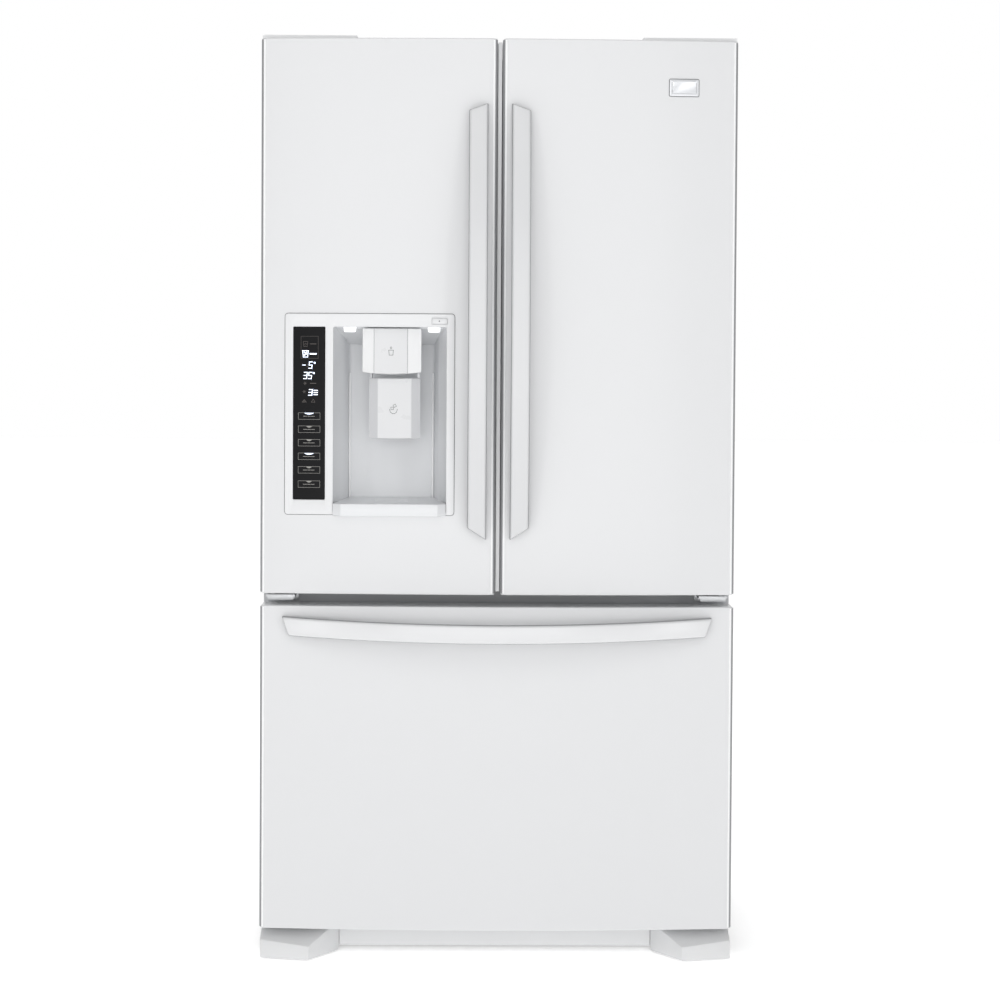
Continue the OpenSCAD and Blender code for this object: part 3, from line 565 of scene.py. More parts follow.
# ---- Evaporator, fans and cover ----
# Aluminium fins on tubes behind a slotted white plastic cover; small fans on plain motors move the air.
aluminium = finish_coat("aluminium", (0.72, 0.73, 0.75), 0.33, metal=1.0, drift=0.04, smudge=0.1,
                        smudge_size=0.01, grain=0.00001, grain_size=0.0008)
black_enamel = finish_coat("black_enamel", (0.018, 0.018, 0.02), 0.35, coat=0.3, drift=0.2, smudge=0.1,
                           grain=0.00003, grain_size=0.002)
broken_edges("evaporator", 0.0004, aluminium, steps=1)
broken_edges("evaporator_cover", 0.0008, liner_white, steps=1)
broken_edges("evaporator_fan", 0.0005, white_plastic, steps=1)
broken_edges("fan_motors", 0.0012, dark_trim)
broken_edges("condenser_fan", 0.0008, dark_trim, steps=1)
broken_edges("condenser", 0.0008, black_enamel, steps=1)

# ---- Compressor ----
# Two pressed steel cups welded round the middle, black enamelled, on a foot plate with rubber grommets.
def circle(cx, cy, r, n=32):
    return [(cx + r * math.cos(i * math.tau / n), cy + r * math.sin(i * math.tau / n)) for i in range(n)]


pot_low, pot_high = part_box("compressor")
pot_x, pot_y = (pot_low.x + pot_high.x) / 2, (pot_low.y + pot_high.y) / 2
bm = bmesh.new()
pot_profile = [(0.050, 0.112), (0.068, 0.118), (0.0765, 0.130), (0.078, 0.145), (0.078, 0.176),
               (0.0785, 0.178), (0.0785, 0.184), (0.0765, 0.186), (0.0765, 0.226), (0.073, 0.246),
               (0.062, 0.260), (0.044, 0.269), (0.022, 0.272)]
skin_over(bm, [at_z(z, circle(pot_x, pot_y, r, 48)) for r, z in pot_profile])
foot = round_rect(pot_low.x, pot_high.x, pot_y - 0.06, pot_y + 0.06, 0.018)
skin_over(bm, [at_z(z, foot) for z in (0.108, 0.112)])
add_piece("compressor_pot", to_mesh(bm), black_enamel, "cabinet", ("compressor",))
black_rubber = finish_coat("black_rubber", (0.028, 0.028, 0.028), 0.75, drift=0.15, smudge=0.1,
                           grain=0.00005, grain_size=0.001)
bm = bmesh.new()
for side in (-1, 1):
    for end in (-1, 1):
        cx, cy = pot_x + side * 0.084, pot_y + end * 0.048
        rings = [at_z(z, circle(cx, cy, r, 24)) for r, z in ((0.008, 0.100), (0.009, 0.1015),
                                                             (0.009, 0.104), (0.0065, 0.105),
                                                             (0.0065, 0.107), (0.009, 0.1079))]
        skin_over(bm, rings)
add_piece("compressor_grommets", to_mesh(bm), black_rubber, "cabinet")

# ---- Machine cover and water valve ----
# Galvanised plate with pressed louvres over the machine space, and an open window for the water valve.
cover_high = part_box("machine_cover")[1]
broken_edges("machine_cover", 0.0005, zinc, steps=1)
for i, left in enumerate((-0.38, -0.25, -0.12, 0.01)):
    row_of_slats("louvres_%d" % (i + 1), [(left + 0.055, sheet_back - 0.0040, 0.1345)], 10, (0, 0, 0.017),
                 0.112, 0.0088, 0.0009, 0.0003, (0.62, 0, 0), zinc, "cabinet")
drive_screws("machine_cover_screws", [(x, cover_high.y - 0.0006, z) for x in (-0.43, -0.2, 0.05, 0.35)
                                      for z in (0.112, 0.308)], facing_back, "cabinet", 0.0044,
             screw_steel)
broken_edges("water_valve", 0.0014, white_plastic)

# ---- Chassis, rollers, feet and toe grille ----
# Folded zinc-plated rails under the cabinet carry two rear rollers and two screw feet; grey moulded
# covers hide the front feet. The panel between them is plain, with its air slots underneath.
broken_edges("base_chassis", 0.0012, zinc)
for node in ("left_roller", "right_roller"):
    low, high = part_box(node)
    tread = (low.z + high.z) / 2
    across = (low.x + high.x) / 2
    hub_y = (low.y + high.y) / 2
    w = (high.x - low.x) / 2
    wheel = [(0.0044, -w), (0.010, -w), (0.0105, -w + 0.003), (0.0175, -w + 0.003), (0.0185, -w),
             (0.0208, -w), (0.022, -w + 0.0015), (0.022, w - 0.0015), (0.0208, w), (0.0185, w),
             (0.0175, w - 0.003), (0.0105, w - 0.003), (0.010, w), (0.0044, w)]
    add_piece(node + "_wheel", skinned([at_x(across + x, circle(hub_y, tread, r, 64)) for r, x in wheel],
                                       closed=True), black_rubber, node, (node,))
bm = bmesh.new()
for side in (-1, 1):
    cx, cy = side * 0.425, -0.262
    stem = [(0.017, 0.0), (0.019, 0.0015), (0.019, 0.006), (0.0165, 0.009), (0.008, 0.0095),
            (0.006, 0.011)]
    stem += [(0.006 - (0.0007 if i % 2 else 0.0), 0.012 + i * 0.0013)
             for i in range(36)] + [(0.0055, 0.060)]
    skin_over(bm, [at_z(z, circle(cx, cy, r, 40)) for r, z in stem])
add_piece("screw_feet", to_mesh(bm), zinc, "cabinet", ("levelling_legs",))
base_white = finish_coat("base_white", (0.72, 0.725, 0.73), 0.45, drift=0.02, smudge=0.06, grain=0.00004,
                         grain_size=0.0014)
broken_edges("leg_covers", 0.0016, base_white)
broken_edges("toe_grille", 0.0012, base_white, steps=1)

# ---- Hinges and their covers ----
# Thick zinc-plated brackets with turned pins. The top ones sit under white moulded boxes on the case;
# the middle ones show in the dark strip between the doors and the drawer.
broken_edges("hinges", 0.0012, zinc)
broken_edges("hinge_covers", 0.003, white_plastic, steps=3)
top_screws = [(side * x, y, cad_high.z - 0.0016) for side in (-1, 1)
              for x, y in ((0.30, -0.15), (0.43, -0.15), (0.42, -0.24))]
drive_screws("hinge_cover_screws", top_screws, facing_up, "cabinet", 0.0042, white_plastic)
middle_screws = [(side * x, -0.2882, 0.6965 - 0.005) for side in (-1, 1) for x in (0.396, 0.438)]
drive_screws("middle_hinge_screws", middle_screws, facing_front, "cabinet", 0.0036)

# ---- Door skins ----
# Steel pans bowed forward, with wide rounded upright edges and a small radius at top and bottom.
# The left one is cut out for the dispenser, and both are bored for their hinge pins.
front_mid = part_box("drawer_skin")[0].y
skin_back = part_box("drawer_skin")[1].y
bow_rise = 0.020
bow_radius = (half_width ** 2 + bow_rise ** 2) / (2 * bow_rise)
edge_r, edge_wide, cap_thick = 0.0095, 0.0125, 0.0004
hinge_x, pin_y = 0.432, -0.330


def bow(x):
    return front_mid + bow_radius - math.sqrt(bow_radius ** 2 - x * x)


def bowed_pan(x0, x1, z0, z1, steps):
    """Closed pan: plan outlines stacked upwards, pulled in at the top and the bottom"""
    def plan(inset, z):
        ring = [(x0 + inset, skin_back, z)]
        for side, cx in ((180, x0 + edge_wide), (270, x1 - edge_wide)):
            if side == 270:
                span = x1 - x0 - 2 * edge_wide
                along = [0.0008] + [span * i / steps for i in range(1, steps)] + [span - 0.0008]
                ring += [(x0 + edge_wide + a, bow(x0 + edge_wide + a) + inset, z) for a in along]
            for i in range(11):
                t = math.radians(side + 9 * i)
                ring.append((cx + (edge_wide - inset) * math.cos(t),
                             bow(cx) + edge_r + (edge_r - inset) * math.sin(t), z))
        return ring + [(x1 - inset, skin_back, z)]

    fillet = 0.0025
    levels = []
    for i in range(6):
        t = math.radians(90 * i / 5)
        levels.append((fillet * (1 - math.sin(t)), fillet * (1 - math.cos(t))))
    levels.append((0, fillet + 0.0006))
    rings = [plan(inset, z0 + dz) for inset, dz in levels]
    rings += [plan(inset, z1 - dz) for inset, dz in reversed(levels)]
    return rings


def carve(mesh, cutters):
    """Cuts closed meshes out of a closed mesh"""
    body = bpy.data.objects.new("carved", mesh)
    bpy.context.scene.collection.objects.link(body)
    tools = []
    for i, cutter in enumerate(cutters):
        tool = bpy.data.objects.new("cutter_%d" % i, cutter)
        bpy.context.scene.collection.objects.link(tool)
        cut = body.modifiers.new("cut_%d" % i, "BOOLEAN")
        cut.operation = "DIFFERENCE"
        cut.solver = "EXACT"
        cut.object = tool
        tools.append(tool)
    carved = bpy.data.meshes.new_from_object(body.evaluated_get(bpy.context.evaluated_depsgraph_get()))
    for tool in tools + [body]:
        bpy.data.objects.remove(tool)
    return carved


def prism(ring, axis, start, end):
    """Closed prism of an outline, along Y from a ring of (x, z) or along Z from a ring of (x, y)"""
    place = at_y if axis == "Y" else at_z
    return skinned([place(start, ring), place(end, ring)])


fine_grain = {"grain": 0.00001, "grain_size": 0.0012}
# Grey and near-white coats that paint shade and highlights along rounded edges
painted_edge_shade = finish_coat("edge_painted_shade", (0.30, 0.305, 0.315), 0.4, drift=0.02, smudge=0.05, **fine_grain)
painted_edge_highlight = finish_coat("edge_painted_highlight", (0.93, 0.935, 0.94), 0.35, drift=0.01, smudge=0.03, **fine_grain)


def edge_shade_and_highlight(name, x0, x1, z0, z1, body):
    """Painted shade as a grey band over the outer half of each upright rounding, and a painted highlight
    as a bright band along the inner half
    """
    for part, coat, slot, first, last in (("shade_bands", painted_edge_shade, "grey_plastic", 0, 48),
                                          ("beads", painted_edge_highlight, "white_enamel", 50, 68)):
        bm = bmesh.new()
        for outer, facing in ((x0, 1), (x1, -1)):
            cx = outer + facing * edge_wide
            line = []
            for lift, turns in ((0.00015, range(first, last + 1, 6)),
                                (-0.0008, range(last, first - 1, -6))):
                for t in turns:
                    reach = min(edge_wide, (edge_wide + lift) * math.cos(math.radians(t)))
                    depth = bow(cx) + edge_r - (edge_r + lift) * math.sin(math.radians(t))
                    line.append((cx - facing * reach, depth))
            hem = skin_back - 0.0005
            if first == 0:
                line = [(outer, hem)] + line + [(outer + facing * 0.0008, hem)]
            skin_over(bm, [at_z(z, line) for z in (z0 + 0.0028, z1 - 0.0028)])
        add_piece(name + "_" + part, to_mesh(bm), coat, body)


disp_low, disp_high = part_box("dispenser_frame")
for side in ("left", "right"):
    low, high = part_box(side + "_door_skin")
    # Painted shade and painted highlight bands along the door's upright edges
    edge_shade_and_highlight(side + "_door_edges", low.x, high.x, low.z, high.z, side + "_door")
    pan = skinned(bowed_pan(low.x + cap_thick, high.x - cap_thick, low.z, high.z, 30))
    pin_x = -hinge_x if side == "left" else hinge_x
    cutters = [prism(circle(pin_x, pin_y, 0.009), "Z", low.z - 0.01, high.z + 0.01)]
    if side == "left":
        hole = front_rect(disp_low, disp_high, 0.004, 0.004)
        cutters.append(prism(hole, "Y", -0.46, -0.29))
    add_piece(side + "_door_pan", carve(pan, cutters), white_enamel, side + "_door",
              (side + "_door_skin",), crease=26)
drawer_low, drawer_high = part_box("drawer_skin")
pan = skinned(bowed_pan(drawer_low.x + cap_thick, drawer_high.x - cap_thick, drawer_low.z, drawer_high.z,
                        60))
# Painted shade and painted highlight bands along the drawer's upright edges
edge_shade_and_highlight("drawer_edges", drawer_low.x, drawer_high.x, drawer_low.z, drawer_high.z, "freezer_drawer")
add_piece("drawer_pan", pan, white_enamel, "freezer_drawer", ("drawer_skin",),
          crease=26)

# ---- Door liners ----
# White formed plastic closes each door's back, with a raised rim between which the bins hang.
# The left door's liner also bulges over the dispenser and carries the open ice room.
liner_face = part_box("drawer_gasket")[0].y


def pressed(levels):
    """Rings of a pressed surface from nested rounded rectangles (x0, x1, z0, z1, radius, y)"""
    return [at_y(y, round_rect(x0, x1, z0, z1, r)) for x0, x1, z0, z1, r, y in levels]


def raised(x0, x1, z0, z1, r, foot, top, ease):
    """Levels of a wall that rises from foot to top with eased edges, as seen from outside"""
    out = []
    for inset, y in ((0, foot), (0.001, foot + ease), (0.0015, top - ease),
                     (0.0015 + 0.3 * ease, top - 0.3 * ease), (0.0015 + ease, top)):
        out.append((x0 + inset, x1 - inset, z0 + inset, z1 - inset, max(0.002, r - inset), y))
    return out


def nested(x0, x1, z0, z1, steps):
    """Levels of a pressed surface from steps of (inset, corner radius, y)"""
    return [(x0 + inset, x1 - inset, z0 + inset, z1 - inset, r, y) for inset, r, y in steps]


def edge_flange(low, high):
    """Levels of the flat sheet of a door's back, from the steel to its own face"""
    return nested(low.x, high.x, low.z, high.z, (
        (0.001, 0.003, skin_back), (0.001, 0.003, liner_face - 0.0015), (0.0025, 0.003, liner_face)))


def door_back(low, high, rim):
    """Plastic back of a door: edge flange, flat panel and the raised rim round the storage area"""
    x0, x1, z0, z1, wide, top = rim
    levels = edge_flange(low, high) + raised(x0, x1, z0, z1, 0.02, liner_face, top, 0.005)
    wall = wide + 0.002
    inner = nested(x0 + wall, x1 - wall, z0 + wall, z1 - wall, (
        (-0.005, 0.014, top), (-0.0015, 0.013, top - 0.002), (0, 0.012, top - 0.006),
        (0, 0.012, liner_face + 0.006), (0.002, 0.012, liner_face + 0.0018), (0.006, 0.012, liner_face)))
    return pressed(levels + inner)


left_low, left_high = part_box("left_door_skin")
right_low, right_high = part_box("right_door_skin")
window = (-0.3188, -0.0952, 0.8622, 1.2198)
recess_cut = prism(round_rect(*window, 0.004), "Y", -0.47, -0.2672)
left_back = skinned(door_back(left_low, left_high, (-0.388, -0.060, 0.742, 1.680, 0.016, -0.262)))
add_piece("left_door_back", carve(left_back, [recess_cut.copy()]), liner_white,
          "left_door", ("left_door_liner",))
right_back = skinned(door_back(right_low, right_high, (0.060, 0.388, 0.742, 1.680, 0.016, -0.262)))
add_piece("right_door_back", right_back, liner_white, "right_door", ("right_door_liner",))
bulge = (-0.360, -0.070, 0.838, 1.249)
bulge_levels = [(*bulge, 0.012, liner_face - 0.004)] + raised(*bulge, 0.022, liner_face, -0.244, 0.014)
add_piece("dispenser_bulge", carve(skinned(pressed(bulge_levels)), [recess_cut]), liner_white,
          "left_door")
ice_low, ice_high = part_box("ice_room_cover")
room = (-0.385, -0.075, 1.246, 1.650)
room_levels = [(*room, 0.014, liner_face - 0.001)] + raised(*room, 0.014, liner_face, ice_low.y, 0.002)
room_cut = prism(round_rect(-0.371, -0.089, 1.262, 1.636, 0.014), "Y", -0.366, ice_low.y + 0.01)
add_piece("ice_room", carve(skinned(pressed(room_levels)), [room_cut]), liner_white,
          "left_door")
rim_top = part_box("drawer_gasket")[1].y - 0.001
drawer_rim = raised(-0.380, 0.380, 0.158, 0.646, 0.02, liner_face, rim_top, 0.004)
add_piece("drawer_back", skinned(pressed(edge_flange(drawer_low, drawer_high) + drawer_rim)), liner_white,
          "freezer_drawer", ("drawer_liner",))

# ---- Door gaskets ----
# Soft white magnetic bellows that fill the gap between the doors and the cabinet's flange.
gasket_white = finish_coat("gasket_rubber", (0.62, 0.63, 0.64), 0.6, drift=0.03, smudge=0.1,
                           grain=0.00003, grain_size=0.001)
bellows = [(0, 0), (0, 0.002), (0.002, 0.0045), (0.0004, 0.0068), (0.0018, 0.0086), (0, 0.0098),
           (0, 0.0114), (0.0008, 0.012), (0.0122, 0.012), (0.013, 0.0114), (0.013, 0.0098),
           (0.0112, 0.0086), (0.0126, 0.0068), (0.011, 0.0045), (0.013, 0.002), (0.013, 0)]
for node, body in (("left_door_gasket", "left_door"), ("right_door_gasket", "right_door"),
                   ("drawer_gasket", "freezer_drawer")):
    low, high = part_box(node)
    rings = [at_y(low.y + rise, front_rect(low, high, inset, max(0.001, 0.014 - inset)))
             for inset, rise in bellows]
    add_piece(node + "_bellows", skinned(rings, closed=True), gasket_white, body,
              (node,), crease=50)

# ---- Handles ----
# Flat bars that arch away from the fronts and come back to them at slanted ends. Enamelled like the
# doors, a touch glossier, with a soft radius along every edge.
# The door handles' bars take a darker copy of this enamel as painted shade, and a grey layer behind every
# bar shows as a painted shade line along its edges.
handle_white = finish_coat("handle_enamel", (0.725, 0.73, 0.74), 0.24, coat=0.4, drift=0.01, smudge=0.04,
                           grain=0.000015, grain_size=0.003)
bar_thick = 0.016
# Darker copy of the handle enamel for the door handles' bars: painted shade on the same enamel as the
# drawer handle
handle_painted_shade_coat = finish_coat("handle_enamel_painted_shade", (0.66, 0.665, 0.675), 0.3, coat=0.2, drift=0.01, smudge=0.03,
                         grain=0.000015, grain_size=0.003)
# The grey layer is a little wider than the white bar, so it shows as a painted shade line along each
# handle's edges
handle_parts = [("bar", handle_white, "white_enamel", 0.0011, 0.0, 0.0135, 0.0045),
                ("edge_shade_layer", painted_edge_shade, "grey_plastic", 0.0, 0.0065, bar_thick, 0.0012)]


def bar_section(width, narrower, front, back, radius, inset):
    """Section of a handle layer as (across, depth from the handle's front)"""
    half = width / 2 - narrower - inset
    return round_rect(-half, half, front + inset, back - inset, max(0.0006, radius - inset), 6)


def run_of_stations(count):
    """(inset, fraction, shift) of every section from one end to the other, with the ends rounded off"""
    ease = [(0.0022, 0, 0), (0.0012, 0, 0.0004), (0.0004, 0, 0.0012), (0, 0, 0.0024)]
    middle = [(0, i / count, 0) for i in range(1, count)]
    return ease + middle + [(inset, 1, -shift) for inset, fraction, shift in reversed(ease)]


for side, mirror in (("left", 1), ("right", -1)):
    low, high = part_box(side + "_handle")
    middle, half = (low.z + high.z) / 2, (high.z - low.z) / 2
    rise = 0.045
    arc = (half ** 2 + rise ** 2) / (2 * rise)
    centre = low.y + arc
    centre_x = (low.x + high.x) / 2
    width = high.x - low.x
    for layer, coat, slot, narrower, front, back, radius in handle_parts:
        rings = []
        for inset, fraction, shift in run_of_stations(60):
            ring = []
            for across, depth in bar_section(width, narrower, front, back, radius, inset * 0.5):
                lean = (across + width / 2) / width
                z0 = low.z + 0.023 * (1 - lean) + narrower
                z1 = high.z - 0.013 * (1 - lean) - narrower
                z = z0 + fraction * (z1 - z0) + shift
                y = centre - math.sqrt((arc - depth) ** 2 - (z - middle) ** 2)
                ring.append((centre_x + mirror * across, y, z))
            rings.append(ring)
        add_piece(side + "_handle_" + layer, skinned(rings), handle_painted_shade_coat if layer == "bar" else coat,
                  side + "_door", (side + "_handle",) if layer == "bar" else (), crease=40)
low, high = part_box("drawer_handle")
pull_half, droop, bar_width = high.x, 0.009, 0.036
sag_radius = (pull_half ** 2 + droop ** 2) / (2 * droop)
pull_rise = bow(pull_half) - low.y - bar_thick
pull_radius = (pull_half ** 2 + pull_rise ** 2) / (2 * pull_rise)
for layer, coat, slot, narrower, front, back, radius in handle_parts:
    rings = []
    for inset, fraction, shift in run_of_stations(90):
        ring = []
        for across, depth in bar_section(bar_width, narrower, front, back, radius, inset * 0.5):
            reach = pull_half - 0.013 * (bar_width / 2 - across) / bar_width - narrower
            x = -reach + 2 * reach * fraction + shift
            y = low.y + pull_radius - math.sqrt((pull_radius - depth) ** 2 - x * x)
            z = high.z - bar_width / 2 + sag_radius - droop - math.sqrt(sag_radius ** 2 - x * x) + across
            ring.append((x, y, z))
        rings.append(ring)
    add_piece("drawer_handle_" + layer, skinned(rings), coat, "freezer_drawer", ("drawer_handle",)
              if layer == "bar" else (), crease=40)

# ---- Door bins, ice room cover and flap ----
# Clear bins with rolled rims hang between the rims of the liners; the ice room has a white lid with a
# sunk panel and a finger latch, and a folding flap closes the gap between the doors.
for node, body, bins in (("left_door_bin", "left_door", [(-0.370, -0.078, -0.192, 0.759, 0.832)]),
                         ("right_door_bins", "right_door",
                          [(0.078, 0.370, -0.192, 0.760, 0.850)] +
                          [(0.078, 0.370, -0.168, z, z + 0.096) for z in (1.060, 1.250, 1.440)])):
    bm = bmesh.new()
    for x0, x1, y1, z0, z1 in bins:
        skin_over(bm, moulded_tub(Vector((x0, liner_face + 0.001, z0)), Vector((x1, y1, z1)), 0.003,
                                  draft=0.004, corner=0.014))
    add_piece(node + "_tubs", to_mesh(bm), clear_plastic, body, (node,))
    bm = bmesh.new()
    for x0, x1, y1, z0, z1 in bins:
        rings = []
        for inset, x in ((0.002, x0 + 0.02), (0, x0 + 0.022), (0, x1 - 0.022), (0.002, x1 - 0.02)):
            rings.append(at_x(x, round_rect(y1 - 0.006 + inset, y1 - 0.0004 - inset, z1 - 0.02 + inset,
                                            z1 - 0.003 - inset, 0.0028 - inset)))
        skin_over(bm, rings)
    add_piece(node + "_rails", to_mesh(bm), frosted, body)
lid = nested(ice_low.x, ice_high.x, ice_low.z, ice_high.z, (
    (0, 0.014, ice_low.y), (0, 0.014, ice_high.y - 0.003), (0.001, 0.013, ice_high.y - 0.001),
    (0.003, 0.012, ice_high.y), (0.022, 0.012, ice_high.y), (0.0235, 0.011, ice_high.y - 0.0006),
    (0.025, 0.010, ice_high.y - 0.0035)))
add_piece("ice_room_lid", skinned(pressed(lid)), liner_white, "left_door",
          ("ice_room_cover",))
add_piece("ice_room_latch", skinned(pressed(raised(-0.115, -0.085, 1.42, 1.49, 0.006, ice_high.y - 0.004,
                                                   ice_high.y + 0.001, 0.001))), white_plastic,
          "left_door")
low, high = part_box("ice_bin")
add_piece("ice_bin_tub", skinned(moulded_tub(low, high, 0.003, draft=0.004, corner=0.012)), clear_plastic,
          "left_door", ("ice_bin",))
broken_edges("mullion_flap", 0.002, base_white)
strip = [(-0.0036, -0.3742), (0.0034, -0.3742), (0.0038, -0.3738), (0.0038, -0.3722), (0.0004, -0.3718),
         (0.0004, -0.3540), (-0.0062, -0.3540), (-0.0062, -0.3562), (-0.0012, -0.3562),
         (-0.0012, -0.3718), (-0.0036, -0.3722)]
add_piece("closing_strip", skinned([at_z(z, strip) for z in (0.712, 1.758)]), handle_white,
          "left_door")
badge_low, badge_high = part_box("badge_plate")
line_grey = finish_coat("engraved_line", (0.16, 0.165, 0.17), 0.6, drift=0.1, grain=0.00001,
                        grain_size=0.001)
badge_steps = {"rim": ((0, 0.0), (0, 0.0009), (0.0004, 0.0011)),
               "plate": ((0.0010, 0.0), (0.0010, 0.0013), (0.0013, 0.0018), (0.0020, 0.002),
                         (0.0052, 0.002), (0.0060, 0.0014))}
badge_metal = finish_coat("badge_metal", (0.66, 0.67, 0.69), 0.32, metal=0.85, drift=0.03, smudge=0.06,
                          smudge_size=0.01, grain=0.000008, grain_size=0.0006, stretch=(1, 1, 12))
for part, coat, slot in (("rim", line_grey, "dark_trim"), ("plate", badge_metal, "badge_metal")):
    rings = []
    for inset, lift in badge_steps[part]:
        ring = front_rect(badge_low, badge_high, inset, max(0.0012, 0.003 - inset), 5)
        rings.append([(x, bow(x) - lift, z) for x, z in ring])
    add_piece("blank_badge_" + part, skinned(rings), coat, "right_door", ("badge_plate",)
              if part == "plate" else ())

# ---- Dispenser frame and recess ----
# A white border stands a little proud of the bowed door, with a dark line round it that is painted shade
# of the gap. Behind it is a grey niche whose side walls run into the back wall in wide curves, under a
# sloping ceiling; a bright strip in each back corner is a painted highlight.
recess_grey = finish_coat("recess_plastic", (0.76, 0.77, 0.785), 0.3, drift=0.012, smudge=0.015,
                          grain=0.00002, grain_size=0.0016)
disp_x = (disp_low.x + disp_high.x) / 2


def wrap_to_bow(mesh, step=0.012):
    """Bows a plate with the door; it is drawn flat, with Y as its distance behind the door's surface"""
    bm = bmesh.new()
    bm.from_mesh(mesh)
    xs = [v.co.x for v in bm.verts]
    for i in range(math.ceil(min(xs) / step), math.floor(max(xs) / step) + 1):
        bmesh.ops.bisect_plane(bm, geom=bm.verts[:] + bm.edges[:] + bm.faces[:],
                               plane_co=(i * step, 0, 0), plane_no=(1, 0, 0))
    for v in bm.verts:
        v.co.y += bow(v.co.x)
    return to_mesh(bm)


def flared(x0, x1, z0, z1, r, front, back, ease):
    """Cutter for a window whose front edge is eased"""
    rings = []
    for grow_by, y in ((ease + 0.002, front - 0.002), (ease, front), (0.3 * ease, front + 0.3 * ease),
                       (0, front + ease), (0, back)):
        outline = round_rect(x0 - grow_by, x1 + grow_by, z0 - grow_by, z1 + grow_by, r + grow_by)
        rings.append(at_y(y, outline))
    return skinned(rings)


bm = bmesh.new()
rings = []
for inset, y in ((0.005, 0.009), (0.005, -0.0001), (0, -0.0001), (0, -0.0014), (0.0003, -0.0021),
                 (0.0011, -0.0025)):
    rings.append(at_y(y, front_rect(disp_low, disp_high, inset, 0.006)))
skin_over(bm, rings)
window_x0, window_x1, window_z0, window_z1 = -0.315, -0.099, 0.861, 1.216
disp_niche_x = (window_x0 + window_x1) / 2
windows = [flared(window_x0, window_x1, window_z0, window_z1, 0.003, -0.0025, 0.02, 0.001),
           flared(-0.3915, -0.330, 0.886, window_z1, 0.002, -0.0025, 0.02, 0.0006),
           flared(-0.1274, -0.0981, 1.2216, 1.2334, 0.001, -0.0025, 0.02, 0.0002)]
frame_white = finish_coat("frame_plastic", (0.755, 0.76, 0.77), 0.3, coat=0.2, drift=0.01, smudge=0.04,
                          grain=0.00001, grain_size=0.0014)
add_piece("dispenser_border", wrap_to_bow(carve(to_mesh(bm), windows)), frame_white,
          "left_door", ("dispenser_frame",), crease=26)
# Dark ring round the border: painted shade standing in for the gap's shadow line
gap_shade_ring = []
for grow_by, y in ((0.0009, -0.0001), (0.0009, -0.0004), (-0.002, -0.0004), (-0.002, -0.0001)):
    gap_shade_ring.append(at_y(y, front_rect(disp_low, disp_high, -grow_by, 0.006 + grow_by)))
add_piece("dispenser_gap_shade", wrap_to_bow(skinned(gap_shade_ring, closed=True)), dark_trim, "left_door")

recess_rings = []
for y, side_in, end_in in ((-0.270, 0.030, 0.008), (-0.2707, 0.0272, 0.0055), (-0.2725, 0.0252, 0.0035),
                           (-0.2755, 0.0240, 0.0024), (-0.2785, 0.0235, 0.002), (-0.300, 0.0196, 0.0016),
                           (-0.325, 0.0138, 0.001)):
    recess_rings.append(at_y(y, round_rect(window_x0 + side_in, window_x1 - side_in, 0.865 + end_in,
                                           window_z1 - end_in, 0.004)))
mouth = round_rect(window_x0, window_x1, 0.865, window_z1, 0.004)
outside = round_rect(window_x0 - 0.0035, window_x1 + 0.0035, 0.8625, window_z1 + 0.0035, 0.005)
recess_rings.append(at_y(-0.362, mouth))
recess_rings.append([(x, bow(x) + 0.0088, z) for x, z in mouth])
recess_rings.append([(x, bow(x) + 0.0088, z) for x, z in outside])
recess_rings.append(at_y(-0.2675, outside))
add_piece("dispenser_niche", skinned(recess_rings), recess_grey, "left_door",
          ("dispenser_recess",), crease=40)
# Bright strips down the back corners of the niche: painted highlights
bm = bmesh.new()
for side in (-1, 1):
    highlight_strip = circle(disp_niche_x + side * 0.0808, -0.2738, 0.0019, 12)
    skin_over(bm, [at_z(z, highlight_strip) for z in (0.872, 1.128)])
add_piece("niche_corner_beads", to_mesh(bm), painted_edge_highlight, "left_door")
ceiling_rings = []
for x in (window_x0 + 0.0002, window_x1 - 0.0002):
    ceiling_rings.append([(x, -0.350, window_z1 - 0.0002), (x, -0.350, 1.2135), (x, -0.345, 1.2115),
                          (x, -0.277, 1.1855), (x, -0.2735, 1.1835), (x, -0.2705, 1.1835),
                          (x, -0.2705, window_z1 - 0.0002)])
chute_x, chute_y = disp_x + 0.0415, -0.306
ceiling = carve(skinned(ceiling_rings), [prism(circle(chute_x, chute_y, 0.0225), "Z", 1.15, 1.23)])
add_piece("niche_ceiling", ceiling, recess_grey, "left_door", crease=30)

# ---- Dispenser hood, pads, lamps and tray ----
# The ice chute and water nozzle hide behind two faceted pads, each with a small engraved picture
# instead of words; two lamps shine down, and the tray has a slotted floor and a thick front lip.
pad_white = finish_coat("pad_plastic", (0.70, 0.705, 0.715), 0.28, coat=0.15, drift=0.01, smudge=0.012,
                        **fine_grain)


def rod(start, end, y, z, radius):
    """Round bar along X with eased ends"""
    ease = 0.0004
    return [at_x(x, circle(y, z, r, 24)) for r, x in ((radius - ease, start), (radius, start + ease),
                                                      (radius, end - ease), (radius - ease, end))]


def stroke(bm, points, width, y_front, y_back, loop=False):
    """Thin ribbon along a line of (x, z) points, drawn flat in the door's plane"""
    pairs = list(zip(points, points[1:])) + ([(points[-1], points[0])] if loop else [])
    for (x0, z0), (x1, z1) in pairs:
        run = Vector((x1 - x0, z1 - z0))
        if run.length < 1e-6:
            continue
        run.normalize()
        ax, az = run.x * width / 2, run.y * width / 2
        quad = [(x0 - ax - az, z0 - az + ax), (x1 + ax - az, z1 + az + ax), (x1 + ax + az, z1 + az - ax),
                (x0 - ax + az, z0 - az - ax)]
        skin_over(bm, [at_y(y, quad) for y in (y_back, y_front)])


